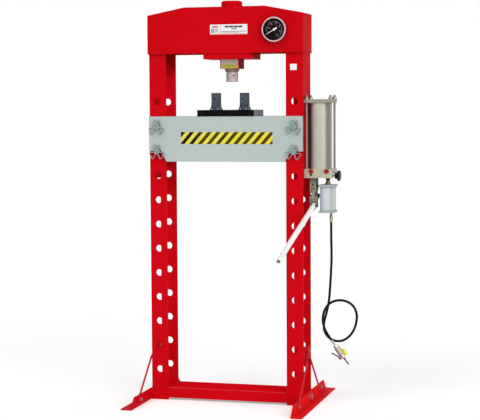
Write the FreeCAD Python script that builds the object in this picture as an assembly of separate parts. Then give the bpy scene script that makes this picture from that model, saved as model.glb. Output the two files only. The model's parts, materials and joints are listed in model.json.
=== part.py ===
"""Floor-standing hydraulic press, built as an assembly of separate pieces.

Millimetres. X to the right, Y to the back, Z up. The origin is on the floor, below the middle of the frame.
Each node is written to parts/NODE.step.
"""

import FreeCAD
import Part

import math
import os

V = FreeCAD.Vector
X = V(1, 0, 0)
Y = V(0, 1, 0)
Z = V(0, 0, 1)

# ---------------------------------------------------------------- frame
POST_SPACING = 630.0  # between the centre lines of the posts
POST_WIDTH = 76.0
FRAME_DEPTH = 156.0  # over the posts' front and back plates
PLATE = 10.0  # post, head and bed plates
FIRST_HOLE = 140.0  # height of the lowest pin hole
HOLE_PITCH = 110.0
HOLE_COUNT = 12
HOLE_DIAMETER = 31.0
SIDE_PLATE_BELOW_PUMP = 7.0  # the upper side plate ends this far below the pump
BRACE_PIECE_HEIGHT = 50.0
BASE_WEB_RISE = 46.0

HEAD_BOTTOM = 1563.0
HEAD_END_HEIGHT = 172.0
HEAD_MIDDLE_HEIGHT = 205.0
HEAD_FLAT_WIDTH = 372.0
HEAD_COVER = 4.0  # wall of the folded cover
POST_UNDER_COVER = 6.0  # from the posts' tops to the cover
HEAD_WEB_GAP = 150.0  # between the two webs beside the cylinder

BEAM_HEIGHT = 47.0
BEAM_WALL = 6.0
BEAM_CLEAR = 10.0  # under the crossbeam

# ---------------------------------------------------------------- feet and braces
FOOT_LENGTH = 710.0
FOOT_LEG = 50.0  # both legs of the angle
FOOT_WALL = 5.0
FOOT_END_CUT = 50.0
FOOT_BOLT_HEIGHT = 28.0
ANCHOR_SPACING = 300.0
ANCHOR_HOLE = 14.0
END_PLATE = 5.0
BRACE_WIDTH = 12.0
BRACE_EYE = 22.0  # across the round ends
BRACE_THICKNESS = 4.0
BRACE_REACH = 235.0  # from the middle of the post to a brace's lower bolt
BRACE_TOP = 236.0  # height of a brace's upper bolt
BRACE_BEND_AT = 45.0  # from the upper bolt to the bend in a front brace
BRACE_BEND_LENGTH = 30.0
BRACE_BOLT = 10.0
FOOT_BOLT = 16.0
BOLT_CLEARANCE = 1.0  # on a bolt hole's diameter
BOLT_STANDS = 2.0  # past its nut
HEAD_ACROSS = 1.6  # this and the next four: times a bolt's diameter
HEAD_HEIGHT = 0.65
NUT_HEIGHT = 0.8
WASHER_ACROSS = 2.0
WASHER_HEIGHT = 0.15

# ---------------------------------------------------------------- cylinder and ram
CYLINDER_X = 12.0  # the cylinder stands a little to the right in the head
SEAT_WIDTH = 220.0
SEAT_DEPTH = 166.0
SEAT_THICKNESS = 25.0
BARREL_DIAMETER = 80.0
BARREL_BORE = 63.0
CAP_DIAMETER = 94.0
CAP_HEIGHT = 29.0
CAP_SPIGOT = 18.0
CAP_FILLET = 6.0
NOSE_BLOCK = 89.0
NOSE_BLOCK_HEIGHT = 42.0
NOSE_BLOCK_LEDGE = 4.0
NOSE_BLOCK_CHAMFER = 4.0
GLAND_DIAMETER = 64.0
GLAND_HEIGHT = 14.0
GLAND_CHAMFER = 4.0
GLAND_SPIGOT = 40.0
ROD_DIAMETER = 50.0
ROD_SPIGOT_DIAMETER = 30.0
ROD_SPIGOT = 24.0
PISTON_HEIGHT = 40.0
PISTON_TOP_GAP = 5.0
SEAL_HEIGHT = 8.0
SEAL_DEPTH = 5.0
NOSE_DIAMETER = 53.0
NOSE_HEIGHT = 38.0
NOSE_GAP = 6.0  # between the gland ring and the ram's nose
NOSE_GROOVE = 2.0
NOSE_GROOVE_HEIGHT = 16.0  # above the ram's face
NOSE_SCREW_HOLE = 9.0
NOSE_SCREW_HEIGHT = 28.0
NOSE_SCREW_TURN = 29.0  # degrees to the right of the front
RUNNING = 0.05  # radial running clearance
LOOSE = 0.2  # radial clearance of parts that stay together

# ---------------------------------------------------------------- bed
BED_TOP = 1285.0
BED_HEIGHT = 202.0
BED_OVERHANG = 1.0  # past the posts' outer edges
BED_UPPER_HOLE = 10  # counted from the lowest hole, which is 0; the lower pins are one hole below
BED_CORNER = 82.0  # from a bed plate's end to the foot of its slope
BED_SPACER = 10.0
BED_SPACER_PLACES = (-255.0, -90.0, 90.0, 255.0)
PIN_DIAMETER = 30.0
PIN_HUB_STANDS = 10.0  # a pin's head stands this far in front of the bed
PIN_PAST_BED = 6.0
PIN_CHAMFER = 3.0
GRIP_RADIUS = 34.0
GRIP_LOBE_WIDTH = 40.0
GRIP_ROOT = 7.0
GRIP_WIRE = 4.0
GRIP_BEND = 3.6
GRIP_DROP = 6.0  # from the pin's axis down to the middle of its grip
GRIP_TURN_LEFT = 0.0  # degrees clockwise, seen from the front
GRIP_TURN_RIGHT = 6.0

# ---------------------------------------------------------------- tooling on the bed
TOOLING_X = 3.0
BAR_LENGTH = 258.0
BAR_THICKNESS = 12.0
BAR_HEIGHT = 28.0
BLOCK_GAP = 6.0  # between the two prism blocks
COLUMN_SPACING = 132.0
COLUMN_WIDTH = 31.0
COLUMN_DEPTH = 52.0
COLUMN_HEIGHT = 76.0
COLUMN_FLARE = 80.0  # radius of the hollow curve at a column's foot
COLUMN_FLARE_HEIGHT = 35.0
NOTCH_WIDTH = 26.0
NOTCH_DEPTH = 14.0
COLUMN_HOLE = 7.0
COLUMN_HOLE_DROP = 26.0
SCREW_SPACING = 86.0  # between a block's two screws
SCREW_DIAMETER = 8.0
SCREW_HEAD = 13.0
SCREW_HEAD_HEIGHT = 8.0
SCREW_KEY = 6.0  # across the flats of the socket in a screw's head
SCREW_KEY_DEPTH = 4.0
SCREW_LENGTH = 30.0
SCREW_SUNK = 6.0
FOOT_SCREW_SPACING = 26.0  # between the two upright screws before and behind a column
FOOT_SCREW_OUT = 2.0  # in front of the column's face
FOOT_SCREW_LENGTH = 20.0
FOOT_POCKET = 15.0  # cut into the column round each upright screw
FOOT_POCKET_HEIGHT = 20.0

# ---------------------------------------------------------------- gauge
GAUGE_FROM_POST = 84.0  # in from the post's centre line
GAUGE_Z = 1663.0
GAUGE_DIAMETER = 104.0
GAUGE_DEPTH = 18.0
GAUGE_WALL = 2.0
BEZEL_DIAMETER = 110.0
BEZEL_OPENING = 97.0
BEZEL_LENGTH = 12.0
BEZEL_STANDS = 4.0
DIAL_THICKNESS = 1.0
DIAL_BACK_SPACE = 6.0
GLASS_THICKNESS = 2.0
NEEDLE_LENGTH = 43.0
NEEDLE_TAIL = 10.0
NEEDLE_TAIL_DISC = 8.0
NEEDLE_WIDTH = 3.2
NEEDLE_THICKNESS = 0.8
NEEDLE_HUB = 9.0
NEEDLE_ANGLE = 240.0  # clockwise from straight up, seen from the front
NEEDLE_SHAFT = 3.0
STEM_DIAMETER = 20.0

# ---------------------------------------------------------------- pump on the right post
PUMP_WIDTH = 126.0
PUMP_DEPTH = 108.0
PUMP_BASE_BOTTOM = 1012.0
PUMP_BASE_HEIGHT = 40.0
PUMP_TUBE_LENGTH = 290.0
PUMP_TUBE_DIAMETER = 100.0
PUMP_TUBE_WALL = 3.0
PUMP_TOP_PLATE = 16.0
PUMP_EDGE = 2.0
TIE_ROD = 10.0
TIE_ROD_SPACING_X = 108.0
TIE_ROD_SPACING_Y = 84.0
TIE_ROD_IN_BASE = 20.0
TIE_ROD_STANDS = 18.0
TIE_NUT = 17.0
TIE_NUT_HEIGHT = 10.0
PLUG_SPACING = 70.0
PLUG_ACROSS = 19.0
PLUG_STANDS = 7.0
PLUG_DROP = 10.0  # below the top of the base block
PLUG_SHIFT = 3.0  # from the block's middle outward to the middle of the plugs
PORT_DIAMETER = 9.0
PORT_DROP = 26.0
PORT_STANDS = 2.5
SPINDLE_DIAMETER = 8.0
SPINDLE_REACH = 6.0  # from the base block to the knob
SPINDLE_IN_BASE = 30.0
SPINDLE_HEIGHT = 10.0  # above the bottom of the base block
SPINDLE_Y = -25.0
BASE_NOTCH_WIDTH = 19.0  # cut from the base block's lower outer corner, behind the spindle's boss
BASE_NOTCH_HEIGHT = 18.0
BASE_NOTCH_FROM = -33.0
BORE_SPARE = 2.0  # left at the end of the spindle's and of the plunger's bore
KNOB_HUB_DIAMETER = 28.0
KNOB_HUB_LENGTH = 13.0
KNOB_DIAMETER = 47.0
KNOB_THICKNESS = 12.0
KNOB_FLUTES = 8
KNOB_FLUTE = 9.0

# ---------------------------------------------------------------- hand lever
LEVER_FROM_POST = 40.0
LEVER_Y = -38.0
LEVER_PIVOT_DROP = 91.0  # below the pump's base block
LINK_TOP_DROP = 50.0
LINK_WIDTH = 20.0
LINK_THICKNESS = 14.0
LEVER_CHEEK = 9.0  # each side of the lever's fork
LEVER_SIDE_GAP = 0.5  # between the fork and what it holds
LEVER_PIN = 10.0
LEVER_PIN_STANDS = 4.0
LEVER_TILT = 15.4  # the handle slopes down this far below level
LEVER_ARM = 40.0
SOCKET_DROP = 30.0  # from the pivot to the socket's axis
SOCKET_WALL = 4.0
SOCKET_BACK = 10.0
SOCKET_LENGTH = 42.0
SOCKET_CLOSED = 16.0  # the socket is a ring this far, and an open trough from there on
SOCKET_FLOOR = 8.0
HANDLE_DIAMETER = 22.0
HANDLE_WALL = 3.0
HANDLE_LENGTH = 693.0
PLUNGER_DIAMETER = 18.0
PLUNGER_IN_BASE = 34.0
PLUNGER_PIN = 8.0
PLUNGER_HOUSING = 24.0
PLUNGER_HOUSING_LENGTH = 58.0
PLUNGER_LUG_WIDTH = 24.0
PLUNGER_LUG_BELOW = 10.0  # from the pin
PLUNGER_LUG_ABOVE = 15.0
PLUNGER_ROOT = 1.0  # of the plunger's shaft in its lug
PLUNGER_SLOT_PLAY = 1.2  # round the pin, up and down
PLUNGER_SLOT_SHIFT = 5.0  # along the slot, each way
BRACKET_WIDTH = 28.0
BRACKET_DEPTH = 32.0
BRACKET_BOSS = 24.0
BRACKET_BOSS_BORE = 12.0
BRACKET_BOSS_DEPTH = 10.0  # of the bore
BRACKET_BOSS_STANDS = 3.0
BRACKET_BOSS_DROP = 30.0  # below the base block

# ---------------------------------------------------------------- air motor
MOTOR_FROM_POST = 96.0
MOTOR_WIDTH = 55.5
MOTOR_DEPTH = 84.0
MOTOR_HEIGHT = 104.0
MOTOR_CORNER = 2.0
MOTOR_GROOVE = 3.0
MOTOR_GROOVE_INSET = 6.0
MOTOR_END_WIDTH = 68.0
MOTOR_END_DEPTH = 92.0
MOTOR_TOP_END = 11.0
MOTOR_BOTTOM_END = 9.0
NECK_LENGTH = 30.0
NECK_DIAMETER = 17.0
NECK_FOOT_DIAMETER = 29.0
NECK_FOOT_HEIGHT = 14.0
NECK_RING_DIAMETER = 21.0
NECK_RING_HEIGHT = 8.0
INLET_FROM_MOTOR = 14.0
INLET_LENGTH = 43.0
INLET_NECK = 8.0
INLET_BODY = 16.0
INLET_CUFF = 14.0
INLET_CONE_FROM = 6.5  # below the motor
INLET_CONE_TO = 19.5
INLET_CUFF_FROM = 26.5

# ---------------------------------------------------------------- air hose, from the inlet down
HOSE_DIAMETER = 11.0
HOSE_ROUTE = (
    (463.0, 0.0, 815.0),
    (463.0, 0.0, 744.0),
    (465.0, 1.0, 658.0),
    (461.0, 3.0, 585.0),
    (456.0, 6.0, 515.0),
    (450.0, 7.0, 450.0),
    (437.0, 7.0, 397.0),
    (428.0, 7.0, 366.0),
    (427.0, 7.0, 331.0),
    (445.0, 7.0, 299.0),
    (477.0, 7.0, 282.0),
    (514.0, 7.0, 285.0),
    (544.0, 5.0, 306.0),
    (564.0, 3.0, 334.0),
    (576.0, 1.0, 368.0),
    (580.0, -1.0, 405.0),
    (567.0, -3.0, 443.0),
    (534.0, -5.0, 466.0),
    (494.0, -7.0, 470.0),
    (455.0, -7.0, 455.0),
    (430.0, -7.0, 418.0),
    (424.0, -7.0, 374.0),
    (434.0, -7.0, 337.0),
    (450.0, -7.0, 310.0),
    (466.0, -7.0, 288.0),
)
ROUND_SHARE = 0.45  # of the shorter run, used up by the arc at a corner

# ---------------------------------------------------------------- shut-off valve on the hose's end
VALVE_NIPPLE = 27.0
VALVE_NIPPLE_DIAMETER = 8.0
VALVE_BARB_DIAMETER = 11.0
VALVE_BARB_LENGTH = 9.0
VALVE_BODY_LENGTH = 66.0
VALVE_BODY_DIAMETER = 26.0
VALVE_END_HEX = 20.0
VALVE_END_LENGTH = 12.0
VALVE_SLEEVE_AT = 32.0  # from the start of the body
VALVE_SLEEVE_LENGTH = 30.0
VALVE_SLEEVE_DIAMETER = 18.0
VALVE_SLEEVE_SUNK = 5.0  # into the body
VALVE_SLEEVE_CHAMFER = 1.5
VALVE_STEM_AT = 58.0  # from the start of the body
VALVE_STEM_BOSS = 16.0
VALVE_BOSS_STANDS = 1.0
VALVE_STEM = 8.0
VALVE_STEM_LENGTH = 8.0
VALVE_LEVER_LENGTH = 38.0
VALVE_LEVER_WIDTH = 12.0
VALVE_LEVER_THICKNESS = 3.5
VALVE_LEVER_LIFT = 27.0  # degrees that the lever is bent away from the body
VALVE_LEVER_FLAT = 6.0
TAIL_LENGTH = 38.0
TAIL_DIAMETER = 9.0
TAIL_TIP_DIAMETER = 6.0

# ---------------------------------------------------------------- places worked out from the sizes
POST_X = POST_SPACING / 2
POST_INNER = POST_X - POST_WIDTH / 2
POST_OUTER = POST_X + POST_WIDTH / 2
GAUGE_X = POST_X - GAUGE_FROM_POST
HALF_DEPTH = FRAME_DEPTH / 2
INNER_DEPTH = HALF_DEPTH - PLATE
FRONT = -HALF_DEPTH - PLATE  # front face of the head and of the bed
HEAD_HALF_WIDTH = POST_OUTER + HEAD_COVER
HEAD_END_TOP = HEAD_BOTTOM + HEAD_END_HEIGHT
HEAD_TOP = HEAD_BOTTOM + HEAD_MIDDLE_HEIGHT
POST_TOP = HEAD_END_TOP - HEAD_COVER - POST_UNDER_COVER
LEG_INNER = POST_OUTER + END_PLATE  # the feet stand off the posts by the end plates
LEG_OUTER = LEG_INNER + FOOT_WALL
SEAT_BOTTOM = HEAD_BOTTOM - SEAT_THICKNESS
BLOCK_BOTTOM = SEAT_BOTTOM - NOSE_BLOCK_HEIGHT
BARREL_BOTTOM = BLOCK_BOTTOM + NOSE_BLOCK_LEDGE
GLAND_BOTTOM = BLOCK_BOTTOM - GLAND_HEIGHT
NOSE_TOP = GLAND_BOTTOM - NOSE_GAP
RAM_FACE = NOSE_TOP - NOSE_HEIGHT
PISTON_TOP = HEAD_TOP - CAP_SPIGOT - PISTON_TOP_GAP
BED_BOTTOM = BED_TOP - BED_HEIGHT
BED_HALF_WIDTH = POST_OUTER + BED_OVERHANG
UPPER_PIN = FIRST_HOLE + HOLE_PITCH * BED_UPPER_HOLE
LOWER_PIN = UPPER_PIN - HOLE_PITCH
BAR_BOTTOM = BED_TOP
BAR_TOP = BAR_BOTTOM + BAR_HEIGHT
PUMP_INNER = POST_OUTER
PUMP_X = PUMP_INNER + PUMP_WIDTH / 2
PUMP_OUTER = PUMP_INNER + PUMP_WIDTH
PUMP_BASE_TOP = PUMP_BASE_BOTTOM + PUMP_BASE_HEIGHT
PUMP_TUBE_TOP = PUMP_BASE_TOP + PUMP_TUBE_LENGTH
LEVER_X = PUMP_INNER + LEVER_FROM_POST
LEVER_Z = PUMP_BASE_BOTTOM - LEVER_PIVOT_DROP
LINK_TOP_Z = PUMP_BASE_BOTTOM - LINK_TOP_DROP
PLUNGER_Y = LEVER_Y + LEVER_ARM * math.cos(math.radians(LEVER_TILT))
PLUNGER_Z = LEVER_Z + LEVER_ARM * math.sin(math.radians(LEVER_TILT))
MOTOR_X = PUMP_INNER + MOTOR_FROM_POST
INLET_X = MOTOR_X + INLET_FROM_MOTOR
MOTOR_TOP = PUMP_BASE_BOTTOM - NECK_LENGTH
MOTOR_BODY_TOP = MOTOR_TOP - MOTOR_TOP_END
MOTOR_BODY_BOTTOM = MOTOR_BODY_TOP - MOTOR_HEIGHT
MOTOR_BOTTOM = MOTOR_BODY_BOTTOM - MOTOR_BOTTOM_END


# ---------------------------------------------------------------- shapes
def box(x0, x1, y0, y1, z0, z1):
    return Part.makeBox(x1 - x0, y1 - y0, z1 - z0, V(x0, y0, z0))


def rod(start, axis, length, diameter):
    return Part.makeCylinder(diameter / 2, length, start, axis)


def pipe(start, axis, length, outer, inner):
    return rod(start, axis, length, outer).cut(rod(start, axis, length, inner))


def fuse(shapes):
    whole = shapes[0]
    for shape in shapes[1:]:
        whole = whole.fuse(shape)
    return whole.removeSplitter()


def cut(shape, tools):
    for tool in tools:
        shape = shape.cut(tool)
    return shape


def group(shapes):
    return Part.makeCompound(shapes)


def slab(points, normal, thickness):
    """A closed outline of corners, carried along normal."""
    outline = Part.makePolygon([*points, points[0]])
    return Part.Face(outline).extrude(normal * thickness)


def turned(profile, start, axis):
    """A solid of revolution: profile lists (radius, distance along axis) from the first to the last."""
    side = V(0, 1, 0) if abs(axis.x) > 0.5 else V(1, 0, 0)
    side = side - axis * side.dot(axis)
    side.normalize()
    points = [start + side * r + axis * t for r, t in profile]
    points = [start + axis * profile[0][1], *points, start + axis * profile[-1][1]]
    outline = Part.makePolygon([*points, points[0]])
    return Part.Face(outline).revolve(start, axis, 360)


def hexagon(start, axis, across, length):
    """A hexagonal bar with a corner pointing up, or along Y where the axis is upright."""
    up = Y if abs(axis.z) > 0.5 else Z
    up = up - axis * up.dot(axis)
    up.normalize()
    side = axis.cross(up)
    radius = across / math.sqrt(3)
    turns = [math.radians(60 * k) for k in range(6)]
    corners = [start + up * (radius * math.cos(a)) + side * (radius * math.sin(a)) for a in turns]
    return slab(corners, axis, length)


def mirrored(shape):
    return shape.mirror(V(0, 0, 0), X)


def both_sides(shape):
    return [mirrored(shape), shape]


def write(node, shape):
    volumes = [solid.Volume for solid in shape.Solids]
    assert volumes and min(volumes) > 0 and shape.isValid(), node
    shape.exportStep(os.path.join("parts", node + ".step"))


# ---------------------------------------------------------------- frame
def pin_holes(x):
    heights = [FIRST_HOLE + HOLE_PITCH * k for k in range(HOLE_COUNT)]
    return [rod(V(x, -2 * FRAME_DEPTH, z), Y, 4 * FRAME_DEPTH, HOLE_DIAMETER) for z in heights]


def post_plate(side, back):
    y0 = INNER_DEPTH if back else -HALF_DEPTH
    x = side * POST_X
    plate = box(x - POST_WIDTH / 2, x + POST_WIDTH / 2, y0, y0 + PLATE, 0, POST_TOP)
    return cut(plate, pin_holes(x))


def frame_webs():
    """The plates that are welded between and against the post and head plates."""
    inner = POST_OUTER - PLATE
    upper_bottom = PUMP_BASE_BOTTOM - SIDE_PLATE_BELOW_PUMP
    upper = box(inner, POST_OUTER, -INNER_DEPTH, INNER_DEPTH, upper_bottom, POST_TOP)
    brace_bottom = BRACE_TOP - BRACE_PIECE_HEIGHT * 0.6
    brace_top = brace_bottom + BRACE_PIECE_HEIGHT
    brace = box(inner, POST_OUTER, -INNER_DEPTH, INNER_DEPTH, brace_bottom, brace_top)
    brace = brace.cut(rod(V(0, 0, BRACE_TOP), X, 2 * POST_OUTER, BRACE_BOLT + BOLT_CLEARANCE))
    web = box(POST_INNER, POST_OUTER, -INNER_DEPTH, INNER_DEPTH, BASE_WEB_RISE, BASE_WEB_RISE + PLATE)
    end = box(POST_OUTER, LEG_INNER, -HALF_DEPTH, HALF_DEPTH, 0, FOOT_LEG)
    end = end.cut(rod(V(0, 0, FOOT_BOLT_HEIGHT), X, 2 * POST_OUTER, FOOT_BOLT + BOLT_CLEARANCE))
    pieces = []
    for shape in (upper, brace, web, end):
        pieces += both_sides(shape)
    for side in (-1, 1):
        x0 = CYLINDER_X + side * (HEAD_WEB_GAP + PLATE) / 2 - PLATE / 2
        pieces.append(box(x0, x0 + PLATE, -HALF_DEPTH, HALF_DEPTH, HEAD_BOTTOM, HEAD_TOP - HEAD_COVER))
    return group(pieces)


def head_outline(inset, y):
    """The head's corners, from the lower left round over the top."""
    half = HEAD_HALF_WIDTH - inset
    flat = HEAD_FLAT_WIDTH / 2
    left = [
        V(-half, y, HEAD_BOTTOM),
        V(-half, y, HEAD_END_TOP - inset),
        V(-flat, y, HEAD_TOP - inset),
    ]
    return left + [V(-p.x, y, p.z) for p in reversed(left)]


def head_plate(back):
    y0 = HALF_DEPTH if back else -HALF_DEPTH - PLATE
    plate = slab(head_outline(0, y0), Y, PLATE)
    if back:
        return plate
    return plate.cut(rod(V(GAUGE_X, FRONT - PLATE, GAUGE_Z), Y, 3 * PLATE, STEM_DIAMETER + 2 * LOOSE))


def head_cover():
    outside = slab(head_outline(0, -HALF_DEPTH), Y, FRAME_DEPTH)
    inside = slab(head_outline(HEAD_COVER, -HALF_DEPTH), Y, FRAME_DEPTH)
    barrel = rod(V(CYLINDER_X, 0, HEAD_BOTTOM), Z, 2 * HEAD_MIDDLE_HEIGHT, BARREL_DIAMETER + 2 * LOOSE)
    return cut(outside, [inside, barrel])


def crossbeam():
    top = BEAM_CLEAR + BEAM_HEIGHT
    beam = box(-POST_INNER, POST_INNER, -HALF_DEPTH, HALF_DEPTH, BEAM_CLEAR, top)
    hollow = HALF_DEPTH - BEAM_WALL
    return beam.cut(box(-POST_INNER, POST_INNER, -hollow, hollow, BEAM_CLEAR, top - BEAM_WALL))


# ---------------------------------------------------------------- feet and braces
def foot():
    half = FOOT_LENGTH / 2
    leg = slab(
        [
            V(LEG_INNER, -half, 0),
            V(LEG_INNER, -half, FOOT_WALL),
            V(LEG_INNER, -half + FOOT_END_CUT, FOOT_LEG),
            V(LEG_INNER, half - FOOT_END_CUT, FOOT_LEG),
            V(LEG_INNER, half, FOOT_WALL),
            V(LEG_INNER, half, 0),
        ],
        X,
        FOOT_WALL,
    )
    flange = box(LEG_INNER, LEG_INNER + FOOT_LEG, -half, half, 0, FOOT_WALL)
    holes = [rod(V(0, 0, FOOT_BOLT_HEIGHT), X, 2 * LEG_OUTER, FOOT_BOLT + BOLT_CLEARANCE)]
    for y in (-BRACE_REACH, BRACE_REACH):
        holes.append(rod(V(0, y, FOOT_BOLT_HEIGHT), X, 2 * LEG_OUTER, BRACE_BOLT + BOLT_CLEARANCE))
    for y in (-ANCHOR_SPACING / 2, ANCHOR_SPACING / 2):
        holes.append(rod(V(anchor_x(), y, -1), Z, FOOT_WALL + 2, ANCHOR_HOLE))
    return cut(fuse([leg, flange]), holes)


def anchor_x():
    return (LEG_OUTER + LEG_INNER + FOOT_LEG) / 2


def strap(side, near, far):
    """A strap brace on the front (-1) or the back (1) of the right foot.

    near and far are the X of its inner face at the upper and at the lower bolt.
    """
    top = V(0, 0, BRACE_TOP)
    low = V(0, side * BRACE_REACH, FOOT_BOLT_HEIGHT)
    run = low - top
    length = run.Length
    run.normalize()
    across = run.cross(X)
    half = across * (BRACE_WIDTH / 2)
    middle = slab([top + half, low + half, low - half, top - half], X, 2 * LEG_OUTER)
    outline = fuse([middle] + [rod(p, X, 2 * LEG_OUTER, BRACE_EYE) for p in (top, low)])
    r = BRACE_EYE / 2
    bend = BRACE_BEND_AT
    path = [(-r, near), (bend, near), (bend + BRACE_BEND_LENGTH, far), (length + r, far)]
    inner = [top - across * r + run * s + X * x for s, x in path]
    outer = [p + X * BRACE_THICKNESS for p in reversed(inner)]
    strip = slab([*inner, *outer], across, BRACE_EYE)
    holes = [rod(p, X, 2 * LEG_OUTER, BRACE_BOLT + BOLT_CLEARANCE) for p in (top, low)]
    return cut(outline.common(strip), holes)


def foot_braces():
    rear = strap(1, POST_OUTER, LEG_INNER - BRACE_THICKNESS)
    front = strap(-1, POST_OUTER + BRACE_THICKNESS, LEG_OUTER)
    return group(both_sides(rear) + both_sides(front))


def hex_bolt(face, grip, y, z, size):
    """A bolt along X whose washer bears on face, through grip to a nut inside."""
    washer = WASHER_HEIGHT * size
    head = hexagon(V(face + washer, y, z), X, HEAD_ACROSS * size, HEAD_HEIGHT * size)
    disc = rod(V(face, y, z), X, washer, WASHER_ACROSS * size)
    nut_height = NUT_HEIGHT * size
    nut_start = face - grip - nut_height
    shank = rod(V(nut_start - BOLT_STANDS, y, z), X, grip + nut_height + BOLT_STANDS, size)
    nut = hexagon(V(nut_start, y, z), X, HEAD_ACROSS * size, nut_height)
    hole = rod(V(nut_start, y, z), X, nut_height, size + 2 * RUNNING)
    return [fuse([disc, head, shank]), nut.cut(hole)]


def frame_bolts():
    foot_grip = LEG_OUTER - POST_OUTER
    low_grip = FOOT_WALL + BRACE_THICKNESS
    pieces = hex_bolt(LEG_OUTER, foot_grip, 0, FOOT_BOLT_HEIGHT, FOOT_BOLT)
    two = 2 * BRACE_THICKNESS
    pieces += hex_bolt(POST_OUTER + two, two + PLATE, 0, BRACE_TOP, BRACE_BOLT)
    pieces += hex_bolt(LEG_OUTER + BRACE_THICKNESS, low_grip, -BRACE_REACH, FOOT_BOLT_HEIGHT, BRACE_BOLT)
    pieces += hex_bolt(LEG_OUTER, low_grip, BRACE_REACH, FOOT_BOLT_HEIGHT, BRACE_BOLT)
    return group(pieces + [mirrored(piece) for piece in pieces])


# ---------------------------------------------------------------- cylinder and ram
def on_cylinder(z):
    return V(CYLINDER_X, 0, z)


def seat_plate():
    x0 = CYLINDER_X - SEAT_WIDTH / 2
    plate = box(x0, x0 + SEAT_WIDTH, -SEAT_DEPTH / 2, SEAT_DEPTH / 2, SEAT_BOTTOM, HEAD_BOTTOM)
    return plate.cut(rod(on_cylinder(SEAT_BOTTOM), Z, SEAT_THICKNESS, BARREL_DIAMETER + 2 * LOOSE))


def barrel():
    return pipe(on_cylinder(BARREL_BOTTOM), Z, HEAD_TOP - BARREL_BOTTOM, BARREL_DIAMETER, BARREL_BORE)


def cylinder_cap():
    top = turned(
        [
            (CAP_DIAMETER / 2, 0),
            (CAP_DIAMETER / 2, CAP_HEIGHT - CAP_FILLET),
            (CAP_DIAMETER / 2 - CAP_FILLET, CAP_HEIGHT),
        ],
        on_cylinder(HEAD_TOP),
        Z,
    )
    return fuse([top, rod(on_cylinder(HEAD_TOP - CAP_SPIGOT), Z, CAP_SPIGOT, BARREL_BORE - 2 * LOOSE)])


def nose_block():
    half = NOSE_BLOCK / 2
    c = NOSE_BLOCK_CHAMFER
    corners = []
    for sx, sy in ((-1, -1), (1, -1), (1, 1), (-1, 1)):
        near = (half, half - c) if sx * sy > 0 else (half - c, half)
        far = (near[1], near[0])
        corners += [V(CYLINDER_X + sx * a, sy * b, BLOCK_BOTTOM) for a, b in (near, far)]
    block = slab(corners, Z, NOSE_BLOCK_HEIGHT)
    upper = rod(on_cylinder(BARREL_BOTTOM), Z, NOSE_BLOCK_HEIGHT, BARREL_DIAMETER + 2 * LOOSE)
    return cut(block, [upper, rod(on_cylinder(BLOCK_BOTTOM), Z, NOSE_BLOCK_HEIGHT, BARREL_BORE)])


def gland_ring():
    r = GLAND_DIAMETER / 2
    profile = [(r - GLAND_CHAMFER, 0), (r, GLAND_CHAMFER), (r, GLAND_HEIGHT)]
    ring = turned(profile, on_cylinder(GLAND_BOTTOM), Z)
    ring = fuse([ring, rod(on_cylinder(BLOCK_BOTTOM), Z, GLAND_SPIGOT, BARREL_BORE - 2 * LOOSE)])
    bore = ROD_DIAMETER + 2 * RUNNING
    return ring.cut(rod(on_cylinder(GLAND_BOTTOM), Z, GLAND_HEIGHT + GLAND_SPIGOT, bore))


def seal_place():
    return on_cylinder(PISTON_TOP - PISTON_HEIGHT / 2 - SEAL_HEIGHT / 2)


def ram():
    """The piston, the rod and the spigot for the nose, turned from one bar."""
    bottom = NOSE_TOP - ROD_SPIGOT
    piston_bottom = PISTON_TOP - PISTON_HEIGHT
    piston = rod(on_cylinder(piston_bottom), Z, PISTON_HEIGHT, BARREL_BORE - 2 * RUNNING)
    spigot = rod(on_cylinder(bottom), Z, ROD_SPIGOT, ROD_SPIGOT_DIAMETER)
    shaft = rod(on_cylinder(NOSE_TOP), Z, piston_bottom - NOSE_TOP, ROD_DIAMETER)
    groove = pipe(seal_place(), Z, SEAL_HEIGHT, BARREL_BORE, BARREL_BORE - 2 * SEAL_DEPTH)
    return fuse([spigot, shaft, piston]).cut(groove)


def piston_seal():
    return pipe(seal_place(), Z, SEAL_HEIGHT, BARREL_BORE - 2 * RUNNING, BARREL_BORE - 2 * SEAL_DEPTH)


def ram_nose():
    r = NOSE_DIAMETER / 2
    groove = NOSE_GROOVE_HEIGHT
    nose = turned(
        [
            (r - NOSE_GROOVE, 0),
            (r, NOSE_GROOVE),
            (r, groove - NOSE_GROOVE / 2),
            (r - NOSE_GROOVE, groove),
            (r, groove + NOSE_GROOVE / 2),
            (r, NOSE_HEIGHT),
        ],
        on_cylinder(RAM_FACE),
        Z,
    )
    floor = on_cylinder(NOSE_TOP - ROD_SPIGOT - LOOSE)
    socket = rod(floor, Z, 2 * ROD_SPIGOT, ROD_SPIGOT_DIAMETER + 2 * LOOSE)
    turn = math.radians(NOSE_SCREW_TURN)
    outward = V(math.sin(turn), -math.cos(turn), 0)
    screw = rod(on_cylinder(RAM_FACE + NOSE_SCREW_HEIGHT), outward, NOSE_DIAMETER, NOSE_SCREW_HOLE)
    return cut(nose, [socket, screw])


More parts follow.
